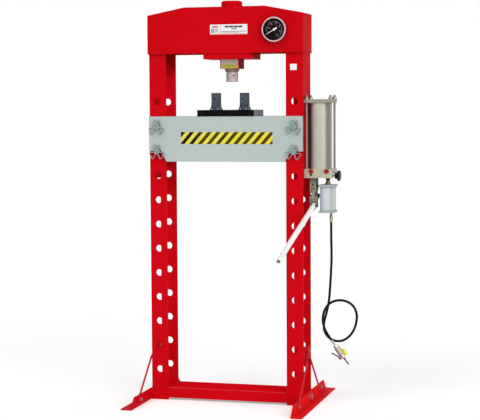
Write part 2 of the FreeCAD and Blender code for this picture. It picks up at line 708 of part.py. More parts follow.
# ---------------------------------------------------------------- bed
def bed_plate(back):
    """A bed plate: its upper pins pass through it and its notched lower corners sit on the lower pins."""
    y0 = HALF_DEPTH if back else FRONT
    r = HOLE_DIAMETER / 2
    right = [
        V(POST_X + r, y0, LOWER_PIN),
        V(BED_HALF_WIDTH, y0, LOWER_PIN),
        V(BED_HALF_WIDTH, y0, BED_TOP),
    ]
    left = [V(-p.x, y0, p.z) for p in reversed(right)]
    foot_right = V(BED_HALF_WIDTH - BED_CORNER, y0, BED_BOTTOM)
    foot_left = V(-foot_right.x, y0, BED_BOTTOM)
    notch_right = V(POST_X - r, y0, LOWER_PIN)
    notch_left = V(-notch_right.x, y0, LOWER_PIN)
    plate = slab([foot_left, foot_right, notch_right, *right, *left, notch_left], Y, PLATE)
    holes = []
    for side in (-1, 1):
        for z in (UPPER_PIN, LOWER_PIN):
            holes.append(rod(V(side * POST_X, y0, z), Y, PLATE, HOLE_DIAMETER))
    return cut(plate, holes)


def bed_spacers():
    half = BED_SPACER / 2
    pieces = []
    for x in BED_SPACER_PLACES:
        pieces.append(box(x - half, x + half, -HALF_DEPTH, HALF_DEPTH, BED_BOTTOM, BED_TOP))
    return group(pieces)


def rounded_loop(corners, radius):
    """A closed wire of lines joined by arcs of one radius."""
    edges = []
    count = len(corners)
    ends = []
    for k in range(count):
        before, at, after = corners[k - 1], corners[k], corners[(k + 1) % count]
        a = (before - at).normalize()
        b = (after - at).normalize()
        half = a.getAngle(b) / 2
        reach = radius / math.tan(half)
        bisector = (a + b).normalize()
        middle = at + bisector * (radius / math.sin(half) - radius)
        ends.append((at + a * reach, middle, at + b * reach))
    for k in range(count):
        first, middle, last = ends[k]
        edges.append(Part.Arc(first, middle, last).toShape())
        edges.append(Part.LineSegment(last, ends[(k + 1) % count][0]).toShape())
    return Part.Wire(edges)


def grip_lobe(centre, turn):
    """One triangular loop of a pin's wire grip, in the plane of the pin's head."""
    out = V(math.sin(turn), 0, math.cos(turn))
    side = V(math.cos(turn), 0, -math.sin(turn))
    half = GRIP_LOBE_WIDTH / 2 - GRIP_WIRE / 2
    reach = GRIP_RADIUS - GRIP_WIRE / 2
    narrow = GRIP_WIRE
    corners = [
        centre + out * GRIP_ROOT - side * narrow,
        centre + out * reach - side * half,
        centre + out * reach + side * half,
        centre + out * GRIP_ROOT + side * narrow,
    ]
    path = rounded_loop(corners, GRIP_BEND)
    start = path.Edges[-1]
    heading = start.tangentAt(start.FirstParameter)
    ring = Part.Wire(Part.makeCircle(GRIP_WIRE / 2, start.Vertexes[0].Point, heading))
    return path.makePipeShell([ring], True, False)


def bed_pin(side, z):
    """A pin through bed and post, with three wire loops for a grip on its head."""
    centre = V(side * POST_X, FRONT - PIN_HUB_STANDS, z)
    length = PIN_HUB_STANDS + FRAME_DEPTH + 2 * PLATE + PIN_PAST_BED
    r = PIN_DIAMETER / 2
    shaft = turned([(r, 0), (r, length - PIN_CHAMFER), (r - PIN_CHAMFER, length)], centre, Y)
    turn = GRIP_TURN_RIGHT if side > 0 else GRIP_TURN_LEFT
    middle = centre - Z * GRIP_DROP
    return fuse([shaft] + [grip_lobe(middle, math.radians(turn + 120 * k)) for k in range(3)])


# ---------------------------------------------------------------- tooling
def block_screws(side):
    return [column_x(side) - SCREW_SPACING / 2, column_x(side) + SCREW_SPACING / 2]


def screw_height():
    return BAR_BOTTOM + BAR_HEIGHT * 0.4


def column_x(side):
    return TOOLING_X + side * COLUMN_SPACING / 2


def column(side):
    """A prism block's column, with a foot that spreads in a hollow curve."""
    x = column_x(side)
    half = COLUMN_WIDTH / 2
    rise = COLUMN_FLARE_HEIGHT
    bottom = BAR_TOP - BAR_HEIGHT / 2
    right = [(half + flare_at(z), BAR_TOP + z) for z in (0, rise / 2, rise)]
    edges = []
    for s in (-1, 1):
        foot, middle, end = [V(x + s * reach, -COLUMN_DEPTH / 2, z) for reach, z in right]
        top = V(end.x, end.y, BAR_TOP + COLUMN_HEIGHT)
        root = V(foot.x, foot.y, bottom)
        edges += [Part.LineSegment(root, foot), Part.Arc(foot, middle, end), Part.LineSegment(end, top)]
    edges.append(Part.LineSegment(edges[2].EndPoint, edges[5].EndPoint))
    edges.append(Part.LineSegment(edges[0].StartPoint, edges[3].StartPoint))
    outline = Part.Wire(Part.__sortEdges__([edge.toShape() for edge in edges]))
    return Part.Face(outline).extrude(Y * COLUMN_DEPTH)


def flare_at(height):
    """How far a column's foot stands out at a height above its base."""
    rest = COLUMN_FLARE_HEIGHT - height
    return COLUMN_FLARE - math.sqrt(COLUMN_FLARE**2 - rest**2)


def foot_screw_places(side):
    y = COLUMN_DEPTH / 2 + FOOT_SCREW_OUT
    return [V(column_x(side) + s * FOOT_SCREW_SPACING / 2, t * y, BAR_TOP) for s in (-1, 1) for t in (-1, 1)]


def prism_block(side):
    near = TOOLING_X + side * BLOCK_GAP / 2
    far = TOOLING_X + side * BAR_LENGTH / 2
    base = box(min(near, far), max(near, far), -HALF_DEPTH, HALF_DEPTH, BAR_BOTTOM, BAR_TOP)
    x = column_x(side)
    top = BAR_TOP + COLUMN_HEIGHT
    w = NOTCH_WIDTH / 2
    start = x - COLUMN_WIDTH
    notch = slab([V(start, -w, top), V(start, w, top), V(start, 0, top - NOTCH_DEPTH)], X, 2 * COLUMN_WIDTH)
    tools = [notch, rod(V(x, -COLUMN_DEPTH, top - COLUMN_HOLE_DROP), Y, 2 * COLUMN_DEPTH, COLUMN_HOLE)]
    for sx in block_screws(side):
        for y, axis in ((-HALF_DEPTH, Y), (HALF_DEPTH, -Y)):
            tools.append(rod(V(sx, y, screw_height()), axis, SCREW_LENGTH, SCREW_DIAMETER + 2 * LOOSE))
    for at in foot_screw_places(side):
        tools.append(rod(at, Z, FOOT_POCKET_HEIGHT, FOOT_POCKET))
        tools.append(rod(at, -Z, FOOT_SCREW_LENGTH, SCREW_DIAMETER + 2 * LOOSE))
    return cut(fuse([base, column(side)]), tools)


def tooling_bar(back):
    y0 = HALF_DEPTH if back else -HALF_DEPTH - BAR_THICKNESS
    x0 = TOOLING_X - BAR_LENGTH / 2
    bar = box(x0, x0 + BAR_LENGTH, y0, y0 + BAR_THICKNESS, BAR_BOTTOM, BAR_TOP)
    outside = y0 + BAR_THICKNESS if back else y0
    inward = -Y if back else Y
    tools = []
    for side in (-1, 1):
        for x in block_screws(side):
            at = V(x, outside, screw_height())
            tools.append(rod(at, inward, BAR_THICKNESS, SCREW_DIAMETER + 2 * LOOSE))
            tools.append(rod(at, inward, SCREW_SUNK, SCREW_HEAD + 2 * LOOSE))
    return cut(bar, tools)


def socket_screw(seat, outward, length):
    head = rod(seat, outward, SCREW_HEAD_HEIGHT, SCREW_HEAD)
    shank = rod(seat, -outward, length, SCREW_DIAMETER)
    key_floor = seat + outward * (SCREW_HEAD_HEIGHT - SCREW_KEY_DEPTH)
    key = hexagon(key_floor, outward, SCREW_KEY, SCREW_KEY_DEPTH)
    return fuse([head, shank]).cut(key)


def tooling_screws():
    pieces = []
    for outward in (-Y, Y):
        face = HALF_DEPTH + BAR_THICKNESS - SCREW_SUNK
        for side in (-1, 1):
            for x in block_screws(side):
                pieces.append(socket_screw(V(x, 0, screw_height()) + outward * face, outward, SCREW_LENGTH))
    for side in (-1, 1):
        for seat in foot_screw_places(side):
            pieces.append(socket_screw(seat, Z, FOOT_SCREW_LENGTH))
    return group(pieces)


# ---------------------------------------------------------------- gauge
def on_gauge(distance):
    """A point on the gauge's axis, this far in front of the head."""
    return V(GAUGE_X, FRONT - distance, GAUGE_Z)


def dial_face():
    return GAUGE_WALL + DIAL_BACK_SPACE + DIAL_THICKNESS


def gauge_case():
    cup = pipe(on_gauge(0), -Y, GAUGE_DEPTH, GAUGE_DIAMETER, GAUGE_DIAMETER - 2 * GAUGE_WALL)
    floor = rod(on_gauge(0), -Y, GAUGE_WALL, GAUGE_DIAMETER)
    ledge_outer = GAUGE_DIAMETER - GAUGE_WALL
    ledge = pipe(on_gauge(0), -Y, GAUGE_WALL + DIAL_BACK_SPACE, ledge_outer, GAUGE_DIAMETER - 6 * GAUGE_WALL)
    stem = rod(on_gauge(0), Y, PLATE + HALF_DEPTH / 2, STEM_DIAMETER)
    return fuse([cup, floor, ledge, stem])


def gauge_bezel():
    outer = BEZEL_DIAMETER / 2
    opening = BEZEL_OPENING / 2
    end = GAUGE_DEPTH + BEZEL_STANDS
    start = end - BEZEL_LENGTH
    ring = turned([(outer, start), (outer, end - GAUGE_WALL), (outer - GAUGE_WALL, end)], on_gauge(0), -Y)
    bore = rod(on_gauge(start), -Y, GAUGE_DEPTH - start + LOOSE, GAUGE_DIAMETER + 2 * LOOSE)
    return cut(ring, [bore, rod(on_gauge(start), -Y, BEZEL_LENGTH, 2 * opening)])


def gauge_dial():
    start = on_gauge(GAUGE_WALL + DIAL_BACK_SPACE)
    outer = GAUGE_DIAMETER - 2 * GAUGE_WALL - 2 * LOOSE
    return pipe(start, -Y, DIAL_THICKNESS, outer, NEEDLE_SHAFT + 4 * RUNNING)


def gauge_glass():
    start = on_gauge(GAUGE_DEPTH - GLASS_THICKNESS)
    return rod(start, -Y, GLASS_THICKNESS, GAUGE_DIAMETER - 2 * GAUGE_WALL - 2 * LOOSE)


def gauge_needle():
    turn = math.radians(NEEDLE_ANGLE)
    out = V(math.sin(turn), 0, math.cos(turn))
    side = V(math.cos(turn), 0, -math.sin(turn))
    centre = on_gauge(dial_face() + 2 * NEEDLE_THICKNESS)
    w = NEEDLE_WIDTH / 2
    blade = slab(
        [
            centre + side * w - out * NEEDLE_TAIL,
            centre + side * w,
            centre + side * (w / 3) + out * NEEDLE_LENGTH,
            centre - side * (w / 3) + out * NEEDLE_LENGTH,
            centre - side * w,
            centre - side * w - out * NEEDLE_TAIL,
        ],
        -Y,
        NEEDLE_THICKNESS,
    )
    tail = rod(centre - out * NEEDLE_TAIL, -Y, NEEDLE_THICKNESS, NEEDLE_TAIL_DISC)
    hub = rod(centre, -Y, 2 * NEEDLE_THICKNESS, NEEDLE_HUB)
    shaft = rod(on_gauge(GAUGE_WALL + 1), -Y, dial_face() + NEEDLE_THICKNESS, NEEDLE_SHAFT)
    return fuse([blade, tail, hub, shaft])


# ---------------------------------------------------------------- pump
def tie_rod_places():
    dx = TIE_ROD_SPACING_X / 2
    dy = TIE_ROD_SPACING_Y / 2
    return [(PUMP_X + sx * dx, sy * dy) for sx in (-1, 1) for sy in (-1, 1)]


def tie_rod_holes(z0, depth):
    return [rod(V(x, y, z0), Z, depth, TIE_ROD + 2 * LOOSE) for x, y in tie_rod_places()]


def pump_slab(z0, height):
    slab_box = box(PUMP_INNER, PUMP_OUTER, -PUMP_DEPTH / 2, PUMP_DEPTH / 2, z0, z0 + height)
    return slab_box.makeChamfer(PUMP_EDGE, [e for e in slab_box.Edges if is_outer_upright(e)])


def is_outer_upright(edge):
    a, b = edge.Vertexes[0].Point, edge.Vertexes[1].Point
    return abs(a.z - b.z) > 1 and a.x > PUMP_X


def plug_place(side, drop):
    return V(PUMP_X + PLUG_SHIFT + side * PLUG_SPACING / 2, -PUMP_DEPTH / 2, PUMP_BASE_TOP - drop)


def pump_base():
    tools = tie_rod_holes(PUMP_BASE_TOP - TIE_ROD_IN_BASE, TIE_ROD_IN_BASE)
    x0 = PUMP_OUTER - BASE_NOTCH_WIDTH
    notch_top = PUMP_BASE_BOTTOM + BASE_NOTCH_HEIGHT
    tools.append(box(x0, PUMP_OUTER, BASE_NOTCH_FROM, PUMP_DEPTH / 2, PUMP_BASE_BOTTOM, notch_top))
    spindle_bore = SPINDLE_DIAMETER + 2 * RUNNING
    tools.append(rod(V(x0, SPINDLE_Y, spindle_z()), -X, SPINDLE_IN_BASE + BORE_SPARE, spindle_bore))
    plunger_at = V(LEVER_X, PLUNGER_Y, PUMP_BASE_BOTTOM)
    tools.append(rod(plunger_at, Z, PLUNGER_IN_BASE + BORE_SPARE, PLUNGER_DIAMETER + 2 * RUNNING))
    return cut(pump_slab(PUMP_BASE_BOTTOM, PUMP_BASE_HEIGHT), tools)


def pump_top():
    holes = tie_rod_holes(PUMP_TUBE_TOP, PUMP_TOP_PLATE)
    return cut(pump_slab(PUMP_TUBE_TOP, PUMP_TOP_PLATE), holes)


def reservoir():
    inner = PUMP_TUBE_DIAMETER - 2 * PUMP_TUBE_WALL
    return pipe(V(PUMP_X, 0, PUMP_BASE_TOP), Z, PUMP_TUBE_LENGTH, PUMP_TUBE_DIAMETER, inner)


def tie_rods():
    start = PUMP_BASE_TOP - TIE_ROD_IN_BASE
    length = TIE_ROD_IN_BASE + PUMP_TUBE_LENGTH + PUMP_TOP_PLATE + TIE_ROD_STANDS
    return group([rod(V(x, y, start), Z, length, TIE_ROD) for x, y in tie_rod_places()])


def tie_rod_nuts():
    z = PUMP_TUBE_TOP + PUMP_TOP_PLATE
    nuts = []
    for x, y in tie_rod_places():
        nut = hexagon(V(x, y, z), Z, TIE_NUT, TIE_NUT_HEIGHT)
        nuts.append(nut.cut(rod(V(x, y, z), Z, TIE_NUT_HEIGHT, TIE_ROD + 2 * RUNNING)))
    return group(nuts)


def pump_plugs():
    pieces = [hexagon(plug_place(side, PLUG_DROP), -Y, PLUG_ACROSS, PLUG_STANDS) for side in (-1, 1)]
    pieces.append(rod(plug_place(-1, PORT_DROP), -Y, PORT_STANDS, PORT_DIAMETER))
    return group(pieces)


def spindle_z():
    return PUMP_BASE_BOTTOM + SPINDLE_HEIGHT


def release_spindle():
    start = PUMP_OUTER - BASE_NOTCH_WIDTH - SPINDLE_IN_BASE
    end = PUMP_OUTER + SPINDLE_REACH
    return rod(V(start, SPINDLE_Y, spindle_z()), X, end - start, SPINDLE_DIAMETER)


def release_knob():
    hub = KNOB_HUB_DIAMETER / 2
    rim = KNOB_DIAMETER / 2
    end = KNOB_HUB_LENGTH + KNOB_THICKNESS
    start = V(PUMP_OUTER + SPINDLE_REACH, SPINDLE_Y, spindle_z())
    knob = turned(
        [
            (hub * 0.8, 0),
            (hub, KNOB_HUB_LENGTH * 0.3),
            (hub, KNOB_HUB_LENGTH),
            (rim - 2, KNOB_HUB_LENGTH),
            (rim, KNOB_HUB_LENGTH + 2),
            (rim, end - 3),
            (rim - 3, end),
        ],
        start,
        X,
    )
    flutes = []
    for k in range(KNOB_FLUTES):
        a = 2 * math.pi * (k + 0.5) / KNOB_FLUTES
        reach = rim + KNOB_FLUTE * 0.2
        at = start + X * KNOB_HUB_LENGTH + Y * (reach * math.cos(a)) + Z * (reach * math.sin(a))
        flutes.append(rod(at, X, KNOB_THICKNESS, KNOB_FLUTE))
    return cut(knob, flutes)


# ---------------------------------------------------------------- hand lever
def lever_at(y, z):
    return V(LEVER_X, y, z)


def along_handle():
    tilt = math.radians(LEVER_TILT)
    return V(0, -math.cos(tilt), -math.sin(tilt))


def socket_point():
    """The point of the socket's axis below the pivot, square to the handle."""
    down = V(0, math.sin(math.radians(LEVER_TILT)), -math.cos(math.radians(LEVER_TILT)))
    return lever_at(LEVER_Y, LEVER_Z) + down * SOCKET_DROP


def plate_along(points, radius, x_middle, thickness):
    """A plate that wraps round a chain of points in the YZ plane, with round ends."""
    start = x_middle - thickness / 2
    pieces = []
    for y, z in points:
        pieces.append(rod(V(start, y, z), X, thickness, 2 * radius))
    for (ya, za), (yb, zb) in zip(points, points[1:]):
        a, b = V(start, ya, za), V(start, yb, zb)
        side = (b - a).cross(X).normalize() * radius
        pieces.append(slab([a + side, b + side, b - side, a - side], X, thickness))
    return fuse(pieces)


def lever_bracket():
    """The forked lug under the base block that carries the link."""
    half = BRACKET_WIDTH / 2
    y0 = LEVER_Y - BRACKET_DEPTH / 2
    lug = box(LEVER_X - half, LEVER_X + half, y0, y0 + BRACKET_DEPTH, LINK_TOP_Z, PUMP_BASE_BOTTOM)
    end = rod(V(LEVER_X - half, LEVER_Y, LINK_TOP_Z), X, BRACKET_WIDTH, BRACKET_DEPTH)
    boss_at = V(LEVER_X, y0 - BRACKET_BOSS_STANDS, PUMP_BASE_BOTTOM - BRACKET_BOSS_DROP)
    boss = rod(boss_at, Y, 2 * BRACKET_BOSS_STANDS, BRACKET_BOSS)
    gap = LINK_THICKNESS / 2 + LEVER_SIDE_GAP
    slot_top = LINK_TOP_Z + LINK_WIDTH / 2 + LEVER_SIDE_GAP
    slot = box(LEVER_X - gap, LEVER_X + gap, y0, y0 + BRACKET_DEPTH, LINK_TOP_Z - BRACKET_DEPTH, slot_top)
    pin = rod(V(LEVER_X - half, LEVER_Y, LINK_TOP_Z), X, BRACKET_WIDTH, LEVER_PIN + 2 * RUNNING)
    bore = rod(boss_at, Y, BRACKET_BOSS_DEPTH, BRACKET_BOSS_BORE)
    return cut(fuse([lug, end, boss]), [slot, pin, bore])


def lever_link():
    """The link that hangs in the bracket, with the pins through its ends."""
    ends = [(LEVER_Y, LINK_TOP_Z), (LEVER_Y, LEVER_Z)]
    link = plate_along(ends, LINK_WIDTH / 2, LEVER_X, LINK_THICKNESS)
    reaches = (BRACKET_WIDTH / 2, fork_half())
    pins = []
    for (y, z), reach in zip(ends, reaches):
        half = reach + LEVER_PIN_STANDS
        pins.append(rod(V(LEVER_X - half, y, z), X, 2 * half, LEVER_PIN))
        link = link.cut(rod(V(LEVER_X - half, y, z), X, 2 * half, LEVER_PIN + 2 * RUNNING))
    return group([link, *pins])


def fork_half():
    """From the middle of the lever to the outside of its fork."""
    return LINK_THICKNESS / 2 + LEVER_SIDE_GAP + LEVER_CHEEK


def lever_socket():
    """The lever's fork, with the socket that the handle lies in."""
    pivot = (LEVER_Y, LEVER_Z)
    centre = socket_point()
    socket_diameter = HANDLE_DIAMETER + 2 * SOCKET_WALL
    back = centre - along_handle() * SOCKET_BACK
    pieces = [rod(back, along_handle(), SOCKET_LENGTH, socket_diameter)]
    for side in (-1, 1):
        x = LEVER_X + side * (fork_half() - LEVER_CHEEK / 2)
        pieces.append(plate_along([pivot, (PLUNGER_Y, PLUNGER_Z)], LINK_WIDTH / 2, x, LEVER_CHEEK))
        pieces.append(plate_along([pivot, (centre.y, centre.z)], LINK_WIDTH / 2, x, LEVER_CHEEK))
    bore = HANDLE_DIAMETER + 2 * LOOSE
    trough = slab(
        [back + along_handle() * SOCKET_CLOSED + X * (s * bore / 2) for s in (-1, 1)]
        + [back + along_handle() * (2 * SOCKET_LENGTH) + X * (s * bore / 2) for s in (1, -1)],
        along_handle().cross(X),
        socket_diameter,
    )
    tools = [
        trough,
        rod(back + along_handle() * SOCKET_FLOOR, along_handle(), SOCKET_LENGTH, bore),
        rod(V(0, LEVER_Y, LEVER_Z), X, 2 * LEVER_X, LEVER_PIN + 2 * RUNNING),
        rod(V(0, PLUNGER_Y, PLUNGER_Z), X, 2 * LEVER_X, PLUNGER_PIN + 2 * RUNNING),
    ]
    return cut(fuse(pieces), tools)


def plunger_pin():
    half = fork_half() + LEVER_PIN_STANDS
    return rod(V(LEVER_X - half, PLUNGER_Y, PLUNGER_Z), X, 2 * half, PLUNGER_PIN)


def handle_tube():
    start = socket_point() + along_handle() * (SOCKET_FLOOR - SOCKET_BACK + LOOSE)
    return pipe(start, along_handle(), HANDLE_LENGTH, HANDLE_DIAMETER, HANDLE_DIAMETER - 2 * HANDLE_WALL)


def plunger_housing():
    start = V(LEVER_X, PLUNGER_Y, PUMP_BASE_BOTTOM)
    return pipe(start, -Z, PLUNGER_HOUSING_LENGTH, PLUNGER_HOUSING, PLUNGER_DIAMETER + 2 * RUNNING)


def pump_plunger():
    """The plunger, with a lug below that the lever's pin crosses in a slot."""
    half = PLUNGER_LUG_WIDTH / 2
    lug_bottom = PLUNGER_Z - PLUNGER_LUG_BELOW
    lug_top = PLUNGER_Z + PLUNGER_LUG_ABOVE
    shoulder = lug_top - PLUNGER_ROOT
    length = PUMP_BASE_BOTTOM + PLUNGER_IN_BASE - shoulder
    shaft = rod(V(LEVER_X, PLUNGER_Y, shoulder), Z, length, PLUNGER_DIAMETER)
    x0 = LEVER_X - LINK_THICKNESS / 2
    x1 = LEVER_X + LINK_THICKNESS / 2
    lug = box(x0, x1, PLUNGER_Y - half, PLUNGER_Y + half, lug_bottom, lug_top)
    play = PLUNGER_PIN / 2 + PLUNGER_SLOT_PLAY
    shift = PLUNGER_SLOT_SHIFT
    middle = box(x0, x1, PLUNGER_Y - shift, PLUNGER_Y + shift, PLUNGER_Z - play, PLUNGER_Z + play)
    ends = [rod(V(x0, PLUNGER_Y + s * shift, PLUNGER_Z), X, LINK_THICKNESS, 2 * play) for s in (-1, 1)]
    return fuse([shaft, lug]).cut(fuse([middle, *ends]))


# ---------------------------------------------------------------- air motor
def motor_slab(width, depth, z0, height):
    body = box(MOTOR_X - width / 2, MOTOR_X + width / 2, -depth / 2, depth / 2, z0, z0 + height)
    upright = [e for e in body.Edges if abs(e.Vertexes[0].Point.z - e.Vertexes[1].Point.z) > 1]
    return body.makeFillet(MOTOR_CORNER, upright)


def motor_body():
    """An extruded section with a groove near each corner of every face."""
    body = motor_slab(MOTOR_WIDTH, MOTOR_DEPTH, MOTOR_BODY_BOTTOM, MOTOR_HEIGHT)
    grooves = []
    hx = MOTOR_WIDTH / 2
    hy = MOTOR_DEPTH / 2
    for sx in (-1, 1):
        for sy in (-1, 1):
            on_front = V(MOTOR_X + sx * (hx - MOTOR_GROOVE_INSET), sy * hy, MOTOR_BODY_BOTTOM)
            on_side = V(MOTOR_X + sx * hx, sy * (hy - MOTOR_GROOVE_INSET), MOTOR_BODY_BOTTOM)
            for at in (on_front, on_side):
                grooves.append(rod(at, Z, MOTOR_HEIGHT, MOTOR_GROOVE))
    return cut(body, grooves)


def motor_ends():
    ends = ((MOTOR_BODY_TOP, MOTOR_TOP_END), (MOTOR_BOTTOM, MOTOR_BOTTOM_END))
    return group([motor_slab(MOTOR_END_WIDTH, MOTOR_END_DEPTH, z0, height) for z0, height in ends])


def motor_neck():
    r = NECK_DIAMETER / 2
    ring = NECK_RING_DIAMETER / 2
    ring_start = NECK_LENGTH - NECK_RING_HEIGHT
    return turned(
        [
            (NECK_FOOT_DIAMETER / 2, 0),
            (r, NECK_FOOT_HEIGHT),
            (r, ring_start),
            (ring, ring_start),
            (ring, NECK_LENGTH),
        ],
        V(MOTOR_X, 0, MOTOR_TOP),
        Z,
    )


def air_inlet():
    r = INLET_BODY / 2
    cuff = INLET_CUFF / 2
    return turned(
        [
            (INLET_NECK / 2, 0),
            (INLET_NECK / 2, INLET_CONE_FROM),
            (r, INLET_CONE_TO),
            (r, INLET_CUFF_FROM),
            (cuff, INLET_CUFF_FROM + INLET_BODY - INLET_CUFF),
            (cuff, INLET_LENGTH),
        ],
        V(INLET_X, 0, MOTOR_BOTTOM),
        -Z,
    )


# ---------------------------------------------------------------- air hose and its valve
def hose_path(points):
    """Straight runs joined by tangent arcs, as edges, with each arc's radius and its own points."""
    ends = []
    radii = []
    for before, at, after in zip(points, points[1:], points[2:]):
        a = (before - at).normalize()
        b = (after - at).normalize()
        run = min((before - at).Length, (after - at).Length)
        half_turn = (math.pi - a.getAngle(b)) / 2
        reach = ROUND_SHARE * run
        radius = reach / math.tan(half_turn)
        bisector = (a + b).normalize()
        middle = at + bisector * (radius / math.cos(half_turn) - radius)
        ends.append((at + a * reach, middle, at + b * reach))
        radii.append(radius)
    edges = []
    here = points[0]
    for first, middle, last in ends:
        edges.append(Part.LineSegment(here, first).toShape())
        edges.append(Part.Arc(first, middle, last).toShape())
        here = last
    edges.append(Part.LineSegment(here, points[-1]).toShape())
    return edges, radii


def least_self_gap(edges, diameter):
    """The least clear distance between stretches of the hose that lie well apart along it."""
    samples = []
    travelled = 0.0
    for edge in edges:
        count = max(2, int(edge.Length / 4))
        for point in edge.discretize(count + 1)[:-1]:
            samples.append((travelled, point))
            travelled += edge.Length / count
    apart = 6 * diameter
    gaps = [(p - q).Length for s, p in samples for t, q in samples if t - s > apart]
    return min(gaps) - diameter


def hose():
    points = [V(*p) for p in HOSE_ROUTE]
    edges, radii = hose_path(points)
    path = Part.Wire(edges)
    start = edges[0]
    ring = Part.Wire(Part.makeCircle(HOSE_DIAMETER / 2, points[0], start.tangentAt(start.FirstParameter)))
    tube = path.makePipeShell([ring], True, False)
    expected = math.pi * (HOSE_DIAMETER / 2) ** 2 * path.Length
    runs = [(b - a).Length for a, b in zip(points, points[1:])]
    print("hose length", round(path.Length, 1), "runs", [round(r) for r in runs])
    print("hose radii", [round(r) for r in radii], "least", round(min(radii), 1))
    print("hose volume over section times length", round(tube.Volume / expected, 4))
    print("hose least self gap", round(least_self_gap(edges, HOSE_DIAMETER), 2))
    return tube


def valve_axes():
    """The hose's end, the direction it leaves in, and the direction towards the valve's lever."""
    end = V(*HOSE_ROUTE[-1])
    along = (end - V(*HOSE_ROUTE[-2])).normalize()
    aside = along.cross(Y).normalize()
    if aside.x > 0:
        aside = -aside
    return end, along, aside


def on_valve(distance, offset=0.0):
    end, along, aside = valve_axes()
    return end + along * distance + aside * offset


def hose_nipple():
    end, along, _ = valve_axes()
    r = VALVE_NIPPLE_DIAMETER / 2
    barb = VALVE_BARB_DIAMETER / 2
    profile = [(barb, 0), (barb, VALVE_BARB_LENGTH), (r, VALVE_BARB_LENGTH + 1), (r, VALVE_NIPPLE)]
    return turned(profile, end, along)


def valve_body():
    _, along, aside = valve_axes()
    half = VALVE_BODY_DIAMETER / 2
    barrel_start = VALVE_NIPPLE + VALVE_END_LENGTH
    barrel_length = VALVE_BODY_LENGTH - 2 * VALVE_END_LENGTH
    stem_at = on_valve(VALVE_NIPPLE + VALVE_STEM_AT)
    pieces = [
        hexagon(on_valve(VALVE_NIPPLE), along, VALVE_END_HEX, VALVE_END_LENGTH),
        rod(on_valve(barrel_start), along, barrel_length, VALVE_BODY_DIAMETER),
        hexagon(on_valve(barrel_start + barrel_length), along, VALVE_END_HEX, VALVE_END_LENGTH),
        rod(stem_at, aside, half + VALVE_BOSS_STANDS, VALVE_STEM_BOSS),
        rod(stem_at, aside, half + VALVE_STEM_LENGTH, VALVE_STEM),
    ]
    seat_length = VALVE_SLEEVE_LENGTH + 2 * LOOSE
    seat = rod(sleeve_start(), along, seat_length, VALVE_SLEEVE_DIAMETER + 2 * LOOSE)
    return fuse(pieces).cut(seat)


def sleeve_start():
    offset = -(VALVE_BODY_DIAMETER / 2 + VALVE_SLEEVE_DIAMETER / 2 - VALVE_SLEEVE_SUNK)
    return on_valve(VALVE_NIPPLE + VALVE_SLEEVE_AT - LOOSE, offset)


def valve_sleeve():
    _, along, _ = valve_axes()
    start = sleeve_start() + along * LOOSE
    r = VALVE_SLEEVE_DIAMETER / 2
    c = VALVE_SLEEVE_CHAMFER
    end = VALVE_SLEEVE_LENGTH
    return turned([(r - c, 0), (r, c), (r, end - c), (r - c, end)], start, along)


def valve_lever():
    """A bent strap on the valve's stem, lying back towards the hose."""
    _, along, aside = valve_axes()
    stem_top = on_valve(VALVE_NIPPLE + VALVE_STEM_AT, VALVE_BODY_DIAMETER / 2 + 2)
    lift = math.radians(VALVE_LEVER_LIFT)
    back = -along
    rise = back * math.cos(lift) + aside * math.sin(lift)
    r = VALVE_LEVER_WIDTH / 2
    t = VALVE_LEVER_THICKNESS
    chain = [-back * r, back * VALVE_LEVER_FLAT, back * VALVE_LEVER_FLAT + rise * VALVE_LEVER_LENGTH]
    chain = [stem_top + p - Y * r for p in chain]
    normal = aside * math.cos(lift) - back * math.sin(lift)
    upper = [chain[0] + aside * t, chain[1] + aside * t, chain[2] + normal * t]
    strip = slab([*chain, *reversed(upper)], Y, VALVE_LEVER_WIDTH)
    hole = rod(stem_top - aside * t, aside, 3 * t, VALVE_STEM + 2 * RUNNING)
    boss = pipe(stem_top, aside, t, VALVE_LEVER_WIDTH + 4, VALVE_STEM + 2 * RUNNING)
    return fuse([strip.cut(hole), boss])


def tail_nipple():
    _, along, _ = valve_axes()
    r = TAIL_DIAMETER / 2
    tip = TAIL_TIP_DIAMETER / 2
    groove = TAIL_LENGTH * 0.62
    return turned(
        [
            (r, 0),
            (r, TAIL_LENGTH * 0.3),
            (tip, TAIL_LENGTH * 0.4),
            (tip, groove),
            (tip + 1, groove + 2),
            (tip + 1, groove + 6),
            (tip, groove + 8),
            (tip, TAIL_LENGTH),
        ],
        on_valve(VALVE_NIPPLE + VALVE_BODY_LENGTH),
        along,
    )


